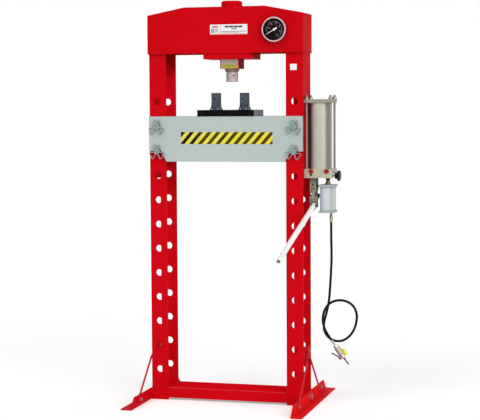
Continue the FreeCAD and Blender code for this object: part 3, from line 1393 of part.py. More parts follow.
# ---------------------------------------------------------------- all nodes
def nodes():
    for side, name in ((-1, "left"), (1, "right")):
        yield f"post_{name}_front_plate", post_plate(side, False)
        yield f"post_{name}_back_plate", post_plate(side, True)
        yield f"bed_pin_upper_{name}", bed_pin(side, UPPER_PIN)
        yield f"bed_pin_lower_{name}", bed_pin(side, LOWER_PIN)
        yield f"prism_block_{name}", prism_block(side)
    right_foot = foot()
    yield "foot_right", right_foot
    yield "foot_left", mirrored(right_foot)
    yield "frame_webs", frame_webs()
    yield "head_front_plate", head_plate(False)
    yield "head_back_plate", head_plate(True)
    yield "head_cover", head_cover()
    yield "bottom_crossbeam", crossbeam()
    yield "foot_braces", foot_braces()
    yield "frame_bolts", frame_bolts()
    yield "cylinder_seat_plate", seat_plate()
    yield "cylinder_barrel", barrel()
    yield "cylinder_cap", cylinder_cap()
    yield "cylinder_nose_block", nose_block()
    yield "gland_ring", gland_ring()
    yield "ram", ram()
    yield "piston_seal", piston_seal()
    yield "ram_nose", ram_nose()
    yield "bed_front_plate", bed_plate(False)
    yield "bed_back_plate", bed_plate(True)
    yield "bed_spacers", bed_spacers()
    yield "tooling_bars", group([tooling_bar(False), tooling_bar(True)])
    yield "tooling_screws", tooling_screws()
    yield "gauge_case", gauge_case()
    yield "gauge_bezel", gauge_bezel()
    yield "gauge_dial", gauge_dial()
    yield "gauge_glass", gauge_glass()
    yield "gauge_needle", gauge_needle()
    yield "pump_base_block", pump_base()
    yield "pump_top_plate", pump_top()
    yield "reservoir_tube", reservoir()
    yield "tie_rods", tie_rods()
    yield "tie_rod_nuts", tie_rod_nuts()
    yield "pump_plugs", pump_plugs()
    yield "release_spindle", release_spindle()
    yield "release_knob", release_knob()
    yield "lever_bracket", lever_bracket()
    yield "lever_link", lever_link()
    yield "lever_socket", lever_socket()
    yield "plunger_pin", plunger_pin()
    yield "lever_handle", handle_tube()
    yield "pump_plunger", pump_plunger()
    yield "air_motor_body", motor_body()
    yield "air_motor_ends", motor_ends()
    yield "base_fittings", group([motor_neck(), plunger_housing()])
    yield "air_inlet", air_inlet()
    yield "air_hose", hose()
    yield "valve_body", valve_body()
    yield "valve_sleeve", valve_sleeve()
    yield "valve_lever", valve_lever()
    yield "valve_nipples", group([hose_nipple(), tail_nipple()])


def main():
    os.makedirs("parts", exist_ok=True)
    count = 0
    for node, shape in nodes():
        write(node, shape)
        count += 1
    print("nodes", count)


main()
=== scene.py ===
"""Looks of a floor-standing hydraulic press, laid out as an add-on around its fixed frame.

Metres. X to the right, Y to the back, Z up. Every piece keeps its place in its mesh.
"""

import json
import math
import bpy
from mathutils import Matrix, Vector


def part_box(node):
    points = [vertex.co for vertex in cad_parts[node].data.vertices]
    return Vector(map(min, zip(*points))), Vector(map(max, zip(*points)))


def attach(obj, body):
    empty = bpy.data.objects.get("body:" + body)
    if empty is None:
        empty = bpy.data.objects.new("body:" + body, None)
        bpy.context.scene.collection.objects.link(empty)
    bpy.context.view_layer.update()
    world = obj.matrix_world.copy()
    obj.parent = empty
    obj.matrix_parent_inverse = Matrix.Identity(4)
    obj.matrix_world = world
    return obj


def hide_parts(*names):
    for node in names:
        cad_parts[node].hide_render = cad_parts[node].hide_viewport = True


bl_info = {
    "name": "Hydraulic Press Looks",
    "version": (1, 0, 0),
    "blender": (4, 5, 0),
    "location": "View3D > Sidebar > Press",
    "description": "Dresses a hydraulic press: finishes, air hose, gauge face, plates, seams and stage",
    "category": "Object",
}

from itertools import product

import bmesh
import bpy
from bpy.props import FloatProperty, FloatVectorProperty, IntProperty, PointerProperty
from mathutils import Matrix, Vector

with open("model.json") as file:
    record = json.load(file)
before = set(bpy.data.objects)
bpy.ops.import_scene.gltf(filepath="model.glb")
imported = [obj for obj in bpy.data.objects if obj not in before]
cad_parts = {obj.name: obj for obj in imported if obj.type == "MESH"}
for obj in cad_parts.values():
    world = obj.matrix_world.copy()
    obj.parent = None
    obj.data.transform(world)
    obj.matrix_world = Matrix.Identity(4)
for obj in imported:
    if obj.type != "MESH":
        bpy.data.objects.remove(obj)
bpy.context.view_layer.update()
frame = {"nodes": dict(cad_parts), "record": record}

# The air hose, from the motor's inlet down round the loop to the valve.
HOSE_ROUTE = (
    (0.463, 0.000, 0.815),
    (0.463, 0.000, 0.744),
    (0.465, 0.001, 0.658),
    (0.461, 0.003, 0.585),
    (0.456, 0.006, 0.515),
    (0.450, 0.007, 0.450),
    (0.437, 0.007, 0.397),
    (0.428, 0.007, 0.366),
    (0.427, 0.007, 0.331),
    (0.445, 0.007, 0.299),
    (0.477, 0.007, 0.282),
    (0.514, 0.007, 0.285),
    (0.544, 0.005, 0.306),
    (0.564, 0.003, 0.334),
    (0.576, 0.001, 0.368),
    (0.580, -0.001, 0.405),
    (0.567, -0.003, 0.443),
    (0.534, -0.005, 0.466),
    (0.494, -0.007, 0.470),
    (0.455, -0.007, 0.455),
    (0.430, -0.007, 0.418),
    (0.424, -0.007, 0.374),
    (0.434, -0.007, 0.337),
    (0.450, -0.007, 0.310),
    (0.466, -0.007, 0.288),
)
HOSE_LENGTH = 1.081

# Places on the head and the post as left, right, bottom and top.
RATING_PLATE = (-0.064, 0.107, 1.6460, 1.6895)
POST_STICKER = (0.297, 0.327, 1.4860, 1.5130)
# The bars on the rating plate: each piece with its print and its bars' places.
RATING_PRINT = (
    ("rating_plate_frame", "plate_red_print", ((-0.0175, -0.016, 1.6485, 1.687), (-0.0605, 0.1035, 1.648, 1.6493))),
    (
        "rating_plate_rules",
        "plate_grey_print",
        (
            (-0.013, 0.1035, 1.6575, 1.6600),
            (-0.013, 0.0700, 1.6535, 1.6550),
            (0.033, 0.0595, 1.6675, 1.6725),
            (-0.058, -0.052, 1.6535, 1.6725),
            (-0.049, -0.044, 1.6535, 1.6725),
        ),
    ),
    (
        "rating_plate_bars",
        "plate_dark_print",
        tuple((left, left + 0.0185, 1.6760, 1.6830) for left in (0.004, 0.0245, 0.045, 0.0655)),
    ),
    ("rating_plate_mark", "plate_red_print", ((-0.0545, -0.0277, 1.6765, 1.6825),)),
    ("rating_plate_field", "sticker_pale", ((-0.0415, -0.0265, 1.6535, 1.6725),)),
)
# The bare rim round the nose block's sticker, sideways and upright, and its yellow band's rim and top.
STICKER_RIM = (0.0045, 0.0010)
BAND_RIM, BAND_TOP = 0.002, 0.017
PRINT_FRONT, PRINT_BACK = 1.4, 0.5  # where printed bars lie before the face, in thicknesses of a sticker
CORNER_STEPS = 6
STRIP_START = (0.06, 0.10)  # how far from the strip's left end its blackest stripes fade
# Heights where the painted light inside the left post begins and ends.
PAINTED_LIGHT_FROM, PAINTED_LIGHT_TO = (1.00, 1.03), (1.45, 1.52)

# Bars of the gauge's scale: width, depth and height, and how far outside its arc they stand.
LONG_MARK, LONG_MARK_OUT = (0.0011, 0.0003, 0.0070), 0.0040
SHORT_MARK, SHORT_MARK_OUT = (0.0005, 0.0003, 0.0040), 0.0025
ARC_MARK, ARC_MARKS = (0.0014, 0.0003, 0.0011), 140
INNER_MARK, INNER_SHARE = (0.0008, 0.0003, 0.0035), 0.55  # a share of the arc's radius
NUMBER_HEIGHT, NUMBER_DEPTH, NUMBER_SHARE = 0.0084, 0.00015, 0.8
MARK_LIFT = 0.0001  # how far the marks' middles stand off the dial

ROD_RADIUS = 0.005
THREAD_PITCH = 0.0015
THREAD_CREST = 0.0005

# Where the lamps shine from, in degrees to the right of the front and up, and how soft they are.
KEY_FROM, KEY_SOFTNESS = (-30, 48), 34
FILL_FROM, FILL_SOFTNESS = (48, 22), 45
FLOOR_REACH = 60.0
FLOOR_GLOW = 0.36  # what the lit floor lacks to plain white


# ------ materials
def srgb(red, green, blue):
    """A screen colour, 0 to 255, as the linear colour that shaders take."""

    def linear(value):
        value /= 255
        return value / 12.92 if value <= 0.04045 else ((value + 0.055) / 1.055) ** 2.4

    return (linear(red), linear(green), linear(blue), 1.0)


WHITE = (1.0, 1.0, 1.0, 1.0)

# Fixed directions that the finishes compare a surface with; SIDEWAYS is square to the line of sight from the front,
# and the finishes paint shade on faces turned along it.
SIDEWAYS = (0.9641, 0.2654, 0.0)
FORWARD = (0.0, 1.0, 0.0)
UPWARD = (0.0, 0.0, 1.0)

EDGE = 0.0012  # radius that the edges of paint and castings look rounded to


class Nodes:
    """Short ways to add nodes to a tree and to link them."""

    def __init__(self, tree):
        self.tree = tree

    def add(self, kind, inputs=None, **settings):
        node = self.tree.nodes.new(kind)
        for name, value in settings.items():
            setattr(node, name, value)
        for name, value in (inputs or {}).items():
            self.put(node.inputs[name], value)
        return node

    def put(self, socket, value):
        if isinstance(value, bpy.types.NodeSocket):
            self.tree.links.new(value, socket)
        else:
            socket.default_value = value

    def math(self, operation, a, b=0.0):
        return self.add("ShaderNodeMath", {0: a, 1: b}, operation=operation).outputs[0]

    def plain_rays(self):
        """1 for the rays that see the floor and the background plain white, 0 for those that light."""
        path = self.add("ShaderNodeLightPath").outputs
        seen = self.math("MAXIMUM", path["Is Camera Ray"], path["Is Glossy Ray"])
        return self.math("MAXIMUM", seen, path["Is Transmission Ray"])


class Finish(Nodes):
    """A material under construction, on Object coordinates."""

    def __init__(self, name):
        self.material = bpy.data.materials.new(name)
        self.material.use_nodes = True
        super().__init__(self.material.node_tree)
        self.shader = self.tree.nodes["Principled BSDF"]
        self.place = self.add("ShaderNodeTexCoord").outputs["Object"]

    def set(self, **values):
        """Sets inputs of the shader, such as base_color for Base Color."""
        for name, value in values.items():
            self.put(self.shader.inputs[name.replace("_", " ").title().replace("Ior", "IOR")], value)

    def tint(self, share, colour):
        """Changes the finish's colour to another where share is 1."""
        socket = self.shader.inputs["Base Color"]
        self.put(socket, self.mix(share, socket.links[0].from_socket, colour))
        return self

    def stretched(self, scale):
        """Object coordinates stretched, so that a noise becomes streaks."""
        return self.add("ShaderNodeMapping", {"Vector": self.place, "Scale": scale}).outputs[0]

    def noise(self, scale, detail=3.0, vector=None):
        inputs = {"Vector": vector or self.place, "Scale": scale, "Detail": detail}
        return self.add("ShaderNodeTexNoise", inputs).outputs["Fac"]

    def ramp(self, value, low, high, to_low=0.0, to_high=1.0):
        inputs = {"Value": value, "From Min": low, "From Max": high, "To Min": to_low, "To Max": to_high}
        return self.add("ShaderNodeMapRange", inputs).outputs["Result"]

    def cloud(self, scale, detail=3.0, to_low=0.0, to_high=1.0):
        """A soft noise spread over the whole range from to_low to to_high."""
        return self.ramp(self.noise(scale, detail), 0.3, 0.7, to_low, to_high)

    def mix(self, factor, a, b):
        return self.add("ShaderNodeMix", {"Factor": factor, "A": a, "B": b}, data_type="RGBA").outputs["Result"]

    def along(self, axis):
        """The object's own X, Y or Z."""
        return self.add("ShaderNodeSeparateXYZ", {"Vector": self.place}).outputs[axis]

    def band(self, axis, low, high, to_low=0.0, to_high=1.0):
        """A slope between two places along an axis."""
        return self.ramp(self.along(axis), low, high, to_low, to_high)

    def beyond(self, axis, place):
        return self.math("GREATER_THAN", self.along(axis), place)

    def short_of(self, axis, place):
        return self.math("LESS_THAN", self.along(axis), place)

    def dot(self, a, b):
        return self.add("ShaderNodeVectorMath", {0: a, 1: b}, operation="DOT_PRODUCT").outputs["Value"]

    def flat_normal(self):
        return self.add("ShaderNodeNewGeometry").outputs["Normal"]

    def rounded(self, radius):
        return self.add("ShaderNodeBevel", {"Radius": radius}, samples=4).outputs[0]

    def facing(self, direction, low, high, to_low=0.0, to_high=1.0):
        """A slope by how squarely the surface faces along direction or against it, 0 to 1."""
        return self.ramp(self.math("ABSOLUTE", self.dot(self.flat_normal(), direction)), low, high, to_low, to_high)

    def edges(self, radius):
        """1 along the piece's edges and 0 elsewhere."""
        return self.ramp(self.dot(self.rounded(radius), self.flat_normal()), 0.97, 0.80)

    def bump(self, height, strength, distance, normal=None):
        inputs = {"Height": height, "Strength": strength, "Distance": distance}
        if normal is not None:
            inputs["Normal"] = normal
        return self.add("ShaderNodeBump", inputs).outputs[0]


def shaded(colour, share):
    return tuple(channel * share for channel in colour[:3]) + (1.0,)


def paint(name):
    """One of the user's colours."""
    return tuple(getattr(bpy.context.scene.press_paints, name))


def enamel(name, colour, roughness=0.42, peel=0.10, specular=0.005, edge=0.72):
    """Sprayed paint: faint orange peel, slow shifts of tone, and patches of painted light along the edges: painted
    shade where edge is below 1, a painted highlight where it is above 1.
    """
    finish = Finish(name)
    body = finish.mix(finish.cloud(2.4, 4.0), shaded(colour, 0.95), shaded(colour, 1.04))
    # Painted light in patches along the edges: shade when edge is below 1, highlight when it is above 1.
    painted_edge_patches = finish.math("MULTIPLY", finish.edges(EDGE), finish.ramp(finish.noise(60.0), 0.35, 0.65, 0.15, 0.8))
    finish.set(base_color=finish.mix(painted_edge_patches, body, shaded(colour, edge)), specular_ior_level=specular)
    finish.set(roughness=finish.cloud(9.0, 5.0, roughness - 0.05, roughness + 0.07))
    finish.set(normal=finish.bump(finish.noise(420.0, 2.0), peel, 0.0004, finish.rounded(EDGE)))
    return finish


def powder_coat(name, colour):
    """Light textured powder coat with a fine grain."""
    finish = Finish(name)
    body = finish.mix(finish.cloud(3.0, 5.0), shaded(colour, 0.95), shaded(colour, 1.03))
    grain = finish.noise(900.0, 2.0)
    speck = finish.mix(finish.ramp(grain, 0.3, 0.5, 0.5, 0.0), body, shaded(colour, 0.86))
    finish.set(base_color=speck, roughness=0.55, specular_ior_level=0.25)
    finish.set(normal=finish.bump(grain, 0.18, 0.0003, finish.rounded(EDGE)))
    return finish


def streaked_metal(name, colour, streaks, low, high, edge=0.0006, depth=0.06, metallic=1.0, flank_shade=0.5):
    """Metal with fine streaks along the smallest number in streaks, and painted shade on its flanks that turn
    sideways.
    """
    finish = Finish(name)
    grain = finish.noise(1.0, 4.0, finish.stretched(streaks))
    tone = finish.mix(finish.cloud(14.0, 4.0), shaded(colour, 0.9), shaded(colour, 1.05))
    tone = finish.mix(finish.ramp(grain, 0.35, 0.65, 0.0, 0.35), tone, shaded(colour, 0.8))
    # Painted shade on the flanks that turn sideways.
    tone = finish.mix(finish.facing(SIDEWAYS, 0.8, 0.99), tone, shaded(colour, flank_shade))
    finish.set(base_color=tone, metallic=metallic, roughness=finish.ramp(grain, 0.3, 0.7, low, high))
    finish.set(normal=finish.bump(grain, depth, 0.0002, finish.rounded(edge)))
    return finish


def zinc_plate(name, colour, low=0.22, high=0.42, flank_shade=0.5):
    """Zinc with a faint cloudy film, and painted shade on its flanks that turn sideways."""
    finish = Finish(name)
    film = finish.noise(55.0, 5.0)
    tone = finish.mix(finish.ramp(film, 0.3, 0.7), shaded(colour, 0.82), colour)
    # Painted shade on the flanks that turn sideways.
    tone = finish.mix(finish.facing(SIDEWAYS, 0.75, 0.99), tone, shaded(colour, flank_shade))
    finish.set(base_color=tone, metallic=1.0, roughness=finish.ramp(film, 0.3, 0.7, high, low))
    finish.set(normal=finish.bump(finish.noise(600.0, 2.0), 0.08, 0.0002, finish.rounded(0.0005)))
    return finish


def rough_casting(name, colour):
    """A painted sand casting: pitted skin, darker hollows, and a painted highlight along the edges."""
    finish = Finish(name)
    lumps = finish.noise(130.0, 6.0)
    pits = finish.noise(620.0, 3.0)
    height = finish.math("ADD", finish.math("MULTIPLY", lumps, 0.7), finish.math("MULTIPLY", pits, 0.3))
    body = finish.mix(finish.ramp(lumps, 0.3, 0.7), shaded(colour, 0.68), shaded(colour, 1.3))
    # Painted highlight along the edges.
    finish.set(base_color=finish.mix(finish.edges(EDGE), body, shaded(colour, 1.6)))
    finish.set(roughness=0.58, specular_ior_level=0.2)
    finish.set(normal=finish.bump(height, 0.5, 0.0012, finish.rounded(EDGE)))
    return finish


def plastic(name, colour, roughness=0.4, specular=0.4):
    """Moulded plastic or rubber with a fine grain."""
    finish = Finish(name)
    finish.set(base_color=finish.mix(finish.cloud(70.0), shaded(colour, 0.9), shaded(colour, 1.06)))
    finish.set(roughness=finish.cloud(240.0, 3.0, roughness - 0.06, roughness + 0.06), specular_ior_level=specular)
    finish.set(normal=finish.bump(finish.noise(800.0, 2.0), 0.06, 0.0003, finish.rounded(0.0008)))
    return finish


def hose_rubber():
    """Smooth black rubber with a dull film and fine extrusion lines."""
    finish = Finish("hose_rubber")
    dust = finish.ramp(finish.noise(35.0, 5.0), 0.45, 0.8, 0.0, 0.5)
    finish.set(base_color=finish.mix(dust, srgb(10, 7, 9), srgb(26, 22, 24)))
    finish.set(roughness=finish.cloud(90.0, 3.0, 0.4, 0.55), specular_ior_level=0.12)
    finish.set(normal=finish.bump(finish.noise(500.0, 2.0), 0.08, 0.0003))
    return finish


def clear_glass():
    """The gauge's flat glass: clear, with a little gloss, and no shadow on the dial."""
    finish = Finish("gauge_glass")
    finish.set(base_color=WHITE, roughness=finish.cloud(8.0, 3.0, 0.02, 0.05), ior=1.06, transmission_weight=1.0)
    shadow = finish.add("ShaderNodeLightPath").outputs["Is Shadow Ray"]
    clear = finish.add("ShaderNodeBsdfTransparent").outputs[0]
    blend = finish.add("ShaderNodeMixShader", {0: shadow, 1: finish.shader.outputs[0], 2: clear})
    finish.put(finish.tree.nodes["Material Output"].inputs["Surface"], blend.outputs[0])
    return finish


def hazard_stripes(strip):
    """Slanting yellow and black stripes with slightly rubbed print, blackest at the left end."""
    finish = Finish("hazard_print")
    shift = finish.math("MULTIPLY", finish.along("Z"), strip.lean)
    along = finish.math("SUBTRACT", finish.along("X"), shift)
    turns = finish.math("DIVIDE", finish.math("SUBTRACT", along, strip.phase), strip.period)
    black = finish.math("LESS_THAN", finish.math("FRACT", turns), strip.black_share)
    rubbed = finish.cloud(25.0, 5.0)
    yellow = finish.mix(rubbed, srgb(235, 228, 90), srgb(226, 218, 72))
    ink = finish.mix(rubbed, srgb(78, 58, 2), srgb(92, 68, 4))
    low, high = (strip.left + way for way in STRIP_START)
    ink = finish.mix(finish.band("X", low, high, 1.0, 0.0), ink, srgb(34, 28, 6))
    finish.set(base_color=finish.mix(black, yellow, ink), roughness=0.42, specular_ior_level=0.04)
    finish.set(normal=finish.bump(finish.noise(700.0, 2.0), 0.05, 0.0002))
    return finish


def printed(name, colour, roughness=0.45, specular=0.3):
    """A flat printed or painted mark with a faint unevenness."""
    finish = Finish(name)
    finish.set(base_color=finish.mix(finish.cloud(120.0, 4.0), shaded(colour, 0.94), colour))
    finish.set(roughness=roughness, specular_ior_level=specular)
    finish.set(normal=finish.bump(finish.noise(900.0, 2.0), 0.04, 0.0002))
    return finish


def milled(name, colour):
    """Milled steel with the cutter's fine lines."""
    return streaked_metal(name, colour, (30, 900, 900), 0.4, 0.55, edge=0.001, depth=0.08, metallic=0.35, flank_shade=0.72)


def turned_steel(name, colour):
    """Lathe-turned steel with painted dark shade on its flanks and a dull shine."""
    finish = streaked_metal(name, colour, (3, 3, 1600), 0.32, 0.45, metallic=0.2, flank_shade=0.06)
    finish.set(specular_ior_level=0.08)
    return finish


def with_painted_rim_shade(finish):
    """The same finish, with painted shade where a wire or a rim turns away from the front."""
    return finish.tint(finish.facing(FORWARD, 0.45, 0.95, 1.0, 0.0), srgb(38, 42, 44))


def beam_enamel():
    """The crossbeam's paint, with painted light on its top and a painted highlight along its edges."""
    finish = enamel("crossbeam_red_enamel", paint("frame"), specular=0.0)
    # Painted light on the faces that look up.
    finish.tint(finish.facing(UPWARD, 0.8, 0.95), srgb(226, 12, 26))
    # Painted highlight along the edges.
    return finish.tint(finish.math("MULTIPLY", finish.edges(0.004), 0.55), srgb(240, 130, 130))


def nose_enamel():
    """The nose block's paint, with painted shade on its flanks."""
    finish = enamel("nose_red_enamel", paint("frame"))
    # Painted shade on the flanks that turn sideways.
    return finish.tint(finish.facing(SIDEWAYS, 0.6, 0.9), srgb(136, 8, 20))


def post_enamel():
    """The left back plate's paint, with painted light inside the closed part of the post."""
    finish = enamel("post_red_enamel", paint("frame"))
    inner = finish.short_of("Y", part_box("post_left_back_plate")[0].y + 0.0005)
    height = finish.math("MULTIPLY", finish.band("Z", *PAINTED_LIGHT_FROM), finish.band("Z", *PAINTED_LIGHT_TO, 1.0, 0.0))
    # Painted light on the plate's front face inside the closed part of the post.
    return finish.tint(finish.math("MULTIPLY", inner, height), srgb(252, 13, 40))


def plug_enamel():
    """Red plugs, and the dark port below the left one."""
    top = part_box("pump_plugs")[1].z
    finish = enamel("plug_red_enamel", srgb(158, 22, 32), specular=0.1)
    return finish.tint(finish.short_of("Z", top - 0.0205), srgb(10, 9, 10))


def tipped_lever():
    """The valve lever's red coat with a black tip."""
    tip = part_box("valve_lever")[1].x
    finish = enamel("valve_lever_red", srgb(118, 8, 26), 0.36, 0.1, 0.03, 0.6)
    return finish.tint(finish.band("X", tip - 0.014, tip - 0.004, 0.0, 0.95), srgb(14, 10, 12))


def two_tone_casting():
    """Slate castings, paler in their bases than in their columns, which have painted shade on their flanks."""
    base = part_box("tooling_bars")[1].z
    finish = rough_casting("slate_casting", srgb(76, 82, 96))
    finish.tint(finish.band("Z", base - 0.001, base + 0.001, 0.6, 0.0), srgb(142, 160, 178))
    # Painted shade on the columns' flanks that turn sideways.
    flank_shade = finish.facing(SIDEWAYS, 0.3, 0.75, 0.0, 0.8)
    return finish.tint(finish.math("MULTIPLY", finish.beyond("Z", base + 0.02), flank_shade), srgb(26, 34, 36))


def lever_casting():
    """The lever's pale castings, with painted shadow under the base block and painted shade on their flanks."""
    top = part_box("lever_bracket")[1].z
    finish = rough_casting("lever_casting", srgb(146, 142, 126))
    # Painted shadow under the base block.
    finish.tint(finish.band("Z", top - 0.03, top - 0.008, 0.0, 0.75), srgb(58, 46, 36))
    # Painted shade on the flanks that turn sideways.
    return finish.tint(finish.facing(SIDEWAYS, 0.55, 0.9, 0.0, 0.9), srgb(34, 34, 30))


def drawn_tube():
    """The reservoir's tube, with painted shade on its right, and painted shade and reflection on the side that stands
    by the post.
    """
    low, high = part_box("reservoir_tube")
    finish = streaked_metal("drawn_tube", paint("reservoir"), (700, 700, 8), 0.35, 0.5, metallic=0.15, flank_shade=0.8)
    finish.set(specular_ior_level=0.1)
    # Painted shade on the right.
    finish.tint(finish.band("X", high.x - 0.024, high.x - 0.018, 0.0, 0.7), srgb(146, 143, 128))
    # Painted shade and reflection of the post on the left.
    return finish.tint(finish.band("X", low.x + 0.008, low.x + 0.030, 1.0, 0.0), srgb(34, 33, 33))


def anodised():
    """The motor's skin, with a painted bluish reflection and shade towards its left and painted shade along its
    edges.
    """
    low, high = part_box("air_motor_body")
    finish = streaked_metal("motor_anodised", paint("motor"), (600, 600, 10), 0.4, 0.55, metallic=0.2, flank_shade=0.86)
    # Painted bluish reflection and shade towards the left.
    left = finish.band("X", low.x + 0.004, low.x + (high.x - low.x) * 0.45, 0.8, 0.0)
    # Painted shade along the edges.
    return finish.tint(left, srgb(158, 166, 184)).tint(finish.edges(0.006), srgb(112, 120, 134))


def motor_ends():
    """The motor's end plates, with painted shade along their edges."""
    finish = streaked_metal("motor_ends", srgb(172, 180, 184), (600, 10, 600), 0.4, 0.55, metallic=0.2, flank_shade=0.8)
    # Painted shade along the edges.
    return finish.tint(finish.edges(0.004), srgb(96, 104, 116))


def dark_fittings():
    """Blackened fittings under the base block, with a bare cone on the motor."""
    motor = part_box("air_motor_ends")[1].z
    finish = zinc_plate("black_oxide", srgb(52, 46, 26), 0.35, 0.5)
    cone = finish.math("MULTIPLY", finish.short_of("Z", motor + 0.016), finish.beyond("X", 0.43))
    return finish.tint(cone, srgb(142, 132, 102))


def worn_screws():
    """Screws with dark heads in the bars and bright ones on the bases."""
    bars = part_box("tooling_bars")[1].z
    finish = zinc_plate("worn_screws", srgb(36, 35, 37), 0.35, 0.5)
    return finish.tint(finish.beyond("Z", bars + 0.001), srgb(128, 134, 142))


def inlet_brass():
    """The motor's inlet, with painted shadow at its top, where it enters the motor."""
    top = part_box("air_inlet")[1].z
    finish = zinc_plate("inlet_brass", srgb(164, 160, 130), 0.3, 0.45)
    # Painted shadow at the top, under the motor.
    return finish.tint(finish.band("Z", top - 0.02, top - 0.006, 0.0, 0.85), srgb(45, 48, 24))


def nipple_steel():
    """The hose's nipple is pale, and the tail below the valve is brown."""
    low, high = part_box("valve_nipples")
    finish = zinc_plate("nipple_steel", srgb(160, 168, 152), 0.3, 0.45, 0.3)
    return finish.tint(finish.beyond("X", (low.x + high.x) / 2), srgb(116, 76, 82))


SLOT_FINISHES = {
    "red_paint": lambda: enamel("press_red_enamel", paint("frame")),
    "bed_paint": lambda: powder_coat("bed_grey_green_coat", paint("bed")),
    "zinc": lambda: with_painted_rim_shade(zinc_plate("bright_zinc", srgb(152, 164, 166), flank_shade=1.0)),
    "ram_steel": lambda: turned_steel("turned_steel", srgb(204, 186, 188)),
    # The bars' edges get a painted highlight.
    "black_paint": lambda: enamel("satin_black_paint", srgb(19, 18, 20), 0.5, 0.2, 0.01, 1.5),
    "screw_steel": worn_screws,
    "cast_grey": two_tone_casting,
    # The bezel's pink tint is a painted reflection of the red frame, and its rims get painted shade.
    "gauge_metal": lambda: with_painted_rim_shade(zinc_plate("gauge_polished_steel", srgb(232, 200, 200), 0.12, 0.22, 1.0)),
    "dial_black": lambda: printed("dial_black", srgb(20, 14, 16), specular=0.01),
    "needle_white": lambda: printed("needle_white", srgb(222, 216, 212)),
    "gauge_glass": clear_glass,
    "pump_metal": lambda: milled("milled_block", srgb(190, 184, 164)),
    "reservoir_silver": drawn_tube,
    "knob_black": lambda: plastic("knob_black", srgb(16, 16, 26), 0.32, 0.1),
    "handle_white": lambda: enamel("handle_white_enamel", paint("handle"), 0.3, 0.08, 0.3, 0.94),
    "motor_paint": anodised,
    "fitting_dark": dark_fittings,
    "brass": inlet_brass,
    "hose_rubber": hose_rubber,
    "sleeve_yellow": lambda: plastic("sleeve_yellow", paint("sleeve"), 0.45, 0.25),
    "valve_red": tipped_lever,
    "seal_rubber": lambda: plastic("seal_rubber", srgb(30, 30, 30), 0.6),
}
# Pieces whose finish departs from the rest of their slot.
PIECE_FINISHES = {
    "bottom_crossbeam": beam_enamel,
    "cylinder_nose_block": nose_enamel,
    "post_left_back_plate": post_enamel,
    # The braces' red is paler than the frame's, and their edges get a painted highlight.
    "foot_braces": lambda: enamel("brace_red_enamel", srgb(196, 34, 42), specular=0.03, edge=1.5),
    # The right foot's red is a brighter copy of the frame's red: painted light.
    "foot_right": lambda: enamel("foot_red_enamel", srgb(230, 28, 34)),
    # The bolts' pale pink and their paler edges are a painted highlight.
    "frame_bolts": lambda: enamel("bolt_red_enamel", srgb(188, 84, 82), specular=0.3, edge=2.0),
    "gland_ring": lambda: turned_steel("gland_steel", srgb(150, 134, 126)),
    "air_motor_ends": motor_ends,
    "pump_plugs": plug_enamel,
    "pump_top_plate": lambda: milled("milled_top", srgb(156, 150, 134)),
    "tie_rods": lambda: streaked_metal("rod_steel", srgb(148, 141, 132), (900, 900, 30), 0.35, 0.5, metallic=0.5),
    "tie_rod_nuts": lambda: zinc_plate("nut_zinc", srgb(148, 146, 136), 0.3, 0.5),
    "lever_bracket": lever_casting,
    "lever_link": lever_casting,
    "lever_socket": lever_casting,
    "valve_body": lambda: streaked_metal(
        "valve_chrome", srgb(176, 160, 154), (90, 90, 90), 0.25, 0.35, metallic=0.5, flank_shade=0.2
    ),
    "valve_nipples": nipple_steel,
}
# The prints of the plates and stickers: colour and roughness.
PRINTS = {
    "plate_white": (srgb(246, 245, 246), 0.3),
    "sticker_pale": (srgb(206, 198, 188), 0.4),
    "plate_red_print": (srgb(206, 52, 62), 0.35),
    "plate_grey_print": (srgb(126, 124, 126), 0.35),
    "plate_dark_print": (srgb(34, 32, 36), 0.35),
    "sticker_yellow_print": (srgb(190, 184, 40), 0.4),
}
made = {}


def finish_of(slot, piece=""):
    """The material of one of the record's slots, or of one piece, made once."""
    maker = PIECE_FINISHES.get(piece, SLOT_FINISHES[slot])
    if maker not in made:
        made[maker] = maker().material
    return made[maker]


# ------ meshes
def add_to_scene(name, data):
    item = bpy.data.objects.new(name, data)
    bpy.context.scene.collection.objects.link(item)
    return item


def plain_mesh(holder):
    """The holder's finished shape, without its modifier; the holder is removed."""
    graph = bpy.context.evaluated_depsgraph_get()
    mesh = bpy.data.meshes.new_from_object(holder.evaluated_get(graph))
    holder.modifiers.clear()
    bpy.data.objects.remove(holder)
    return mesh


def new_piece(name, mesh, material):
    """A piece of one material that the frame carries."""
    mesh.materials.clear()
    mesh.materials.append(material)
    piece = add_to_scene(name, mesh)
    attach(piece, "frame")


def mesh_from(name, build):
    mesh = bpy.data.meshes.new(name)
    work = bmesh.new()
    build(work)
    bmesh.ops.remove_doubles(work, verts=work.verts, dist=1e-6)
    bmesh.ops.recalc_face_normals(work, faces=work.faces)
    work.to_mesh(mesh)
    work.free()
    return mesh


def joined(name, meshes):
    """One mesh from several, which are removed."""
    whole = bpy.data.meshes.new(name)
    work = bmesh.new()
    for mesh in meshes:
        work.from_mesh(mesh)
        bpy.data.meshes.remove(mesh)
    work.to_mesh(whole)
    work.free()
    return whole


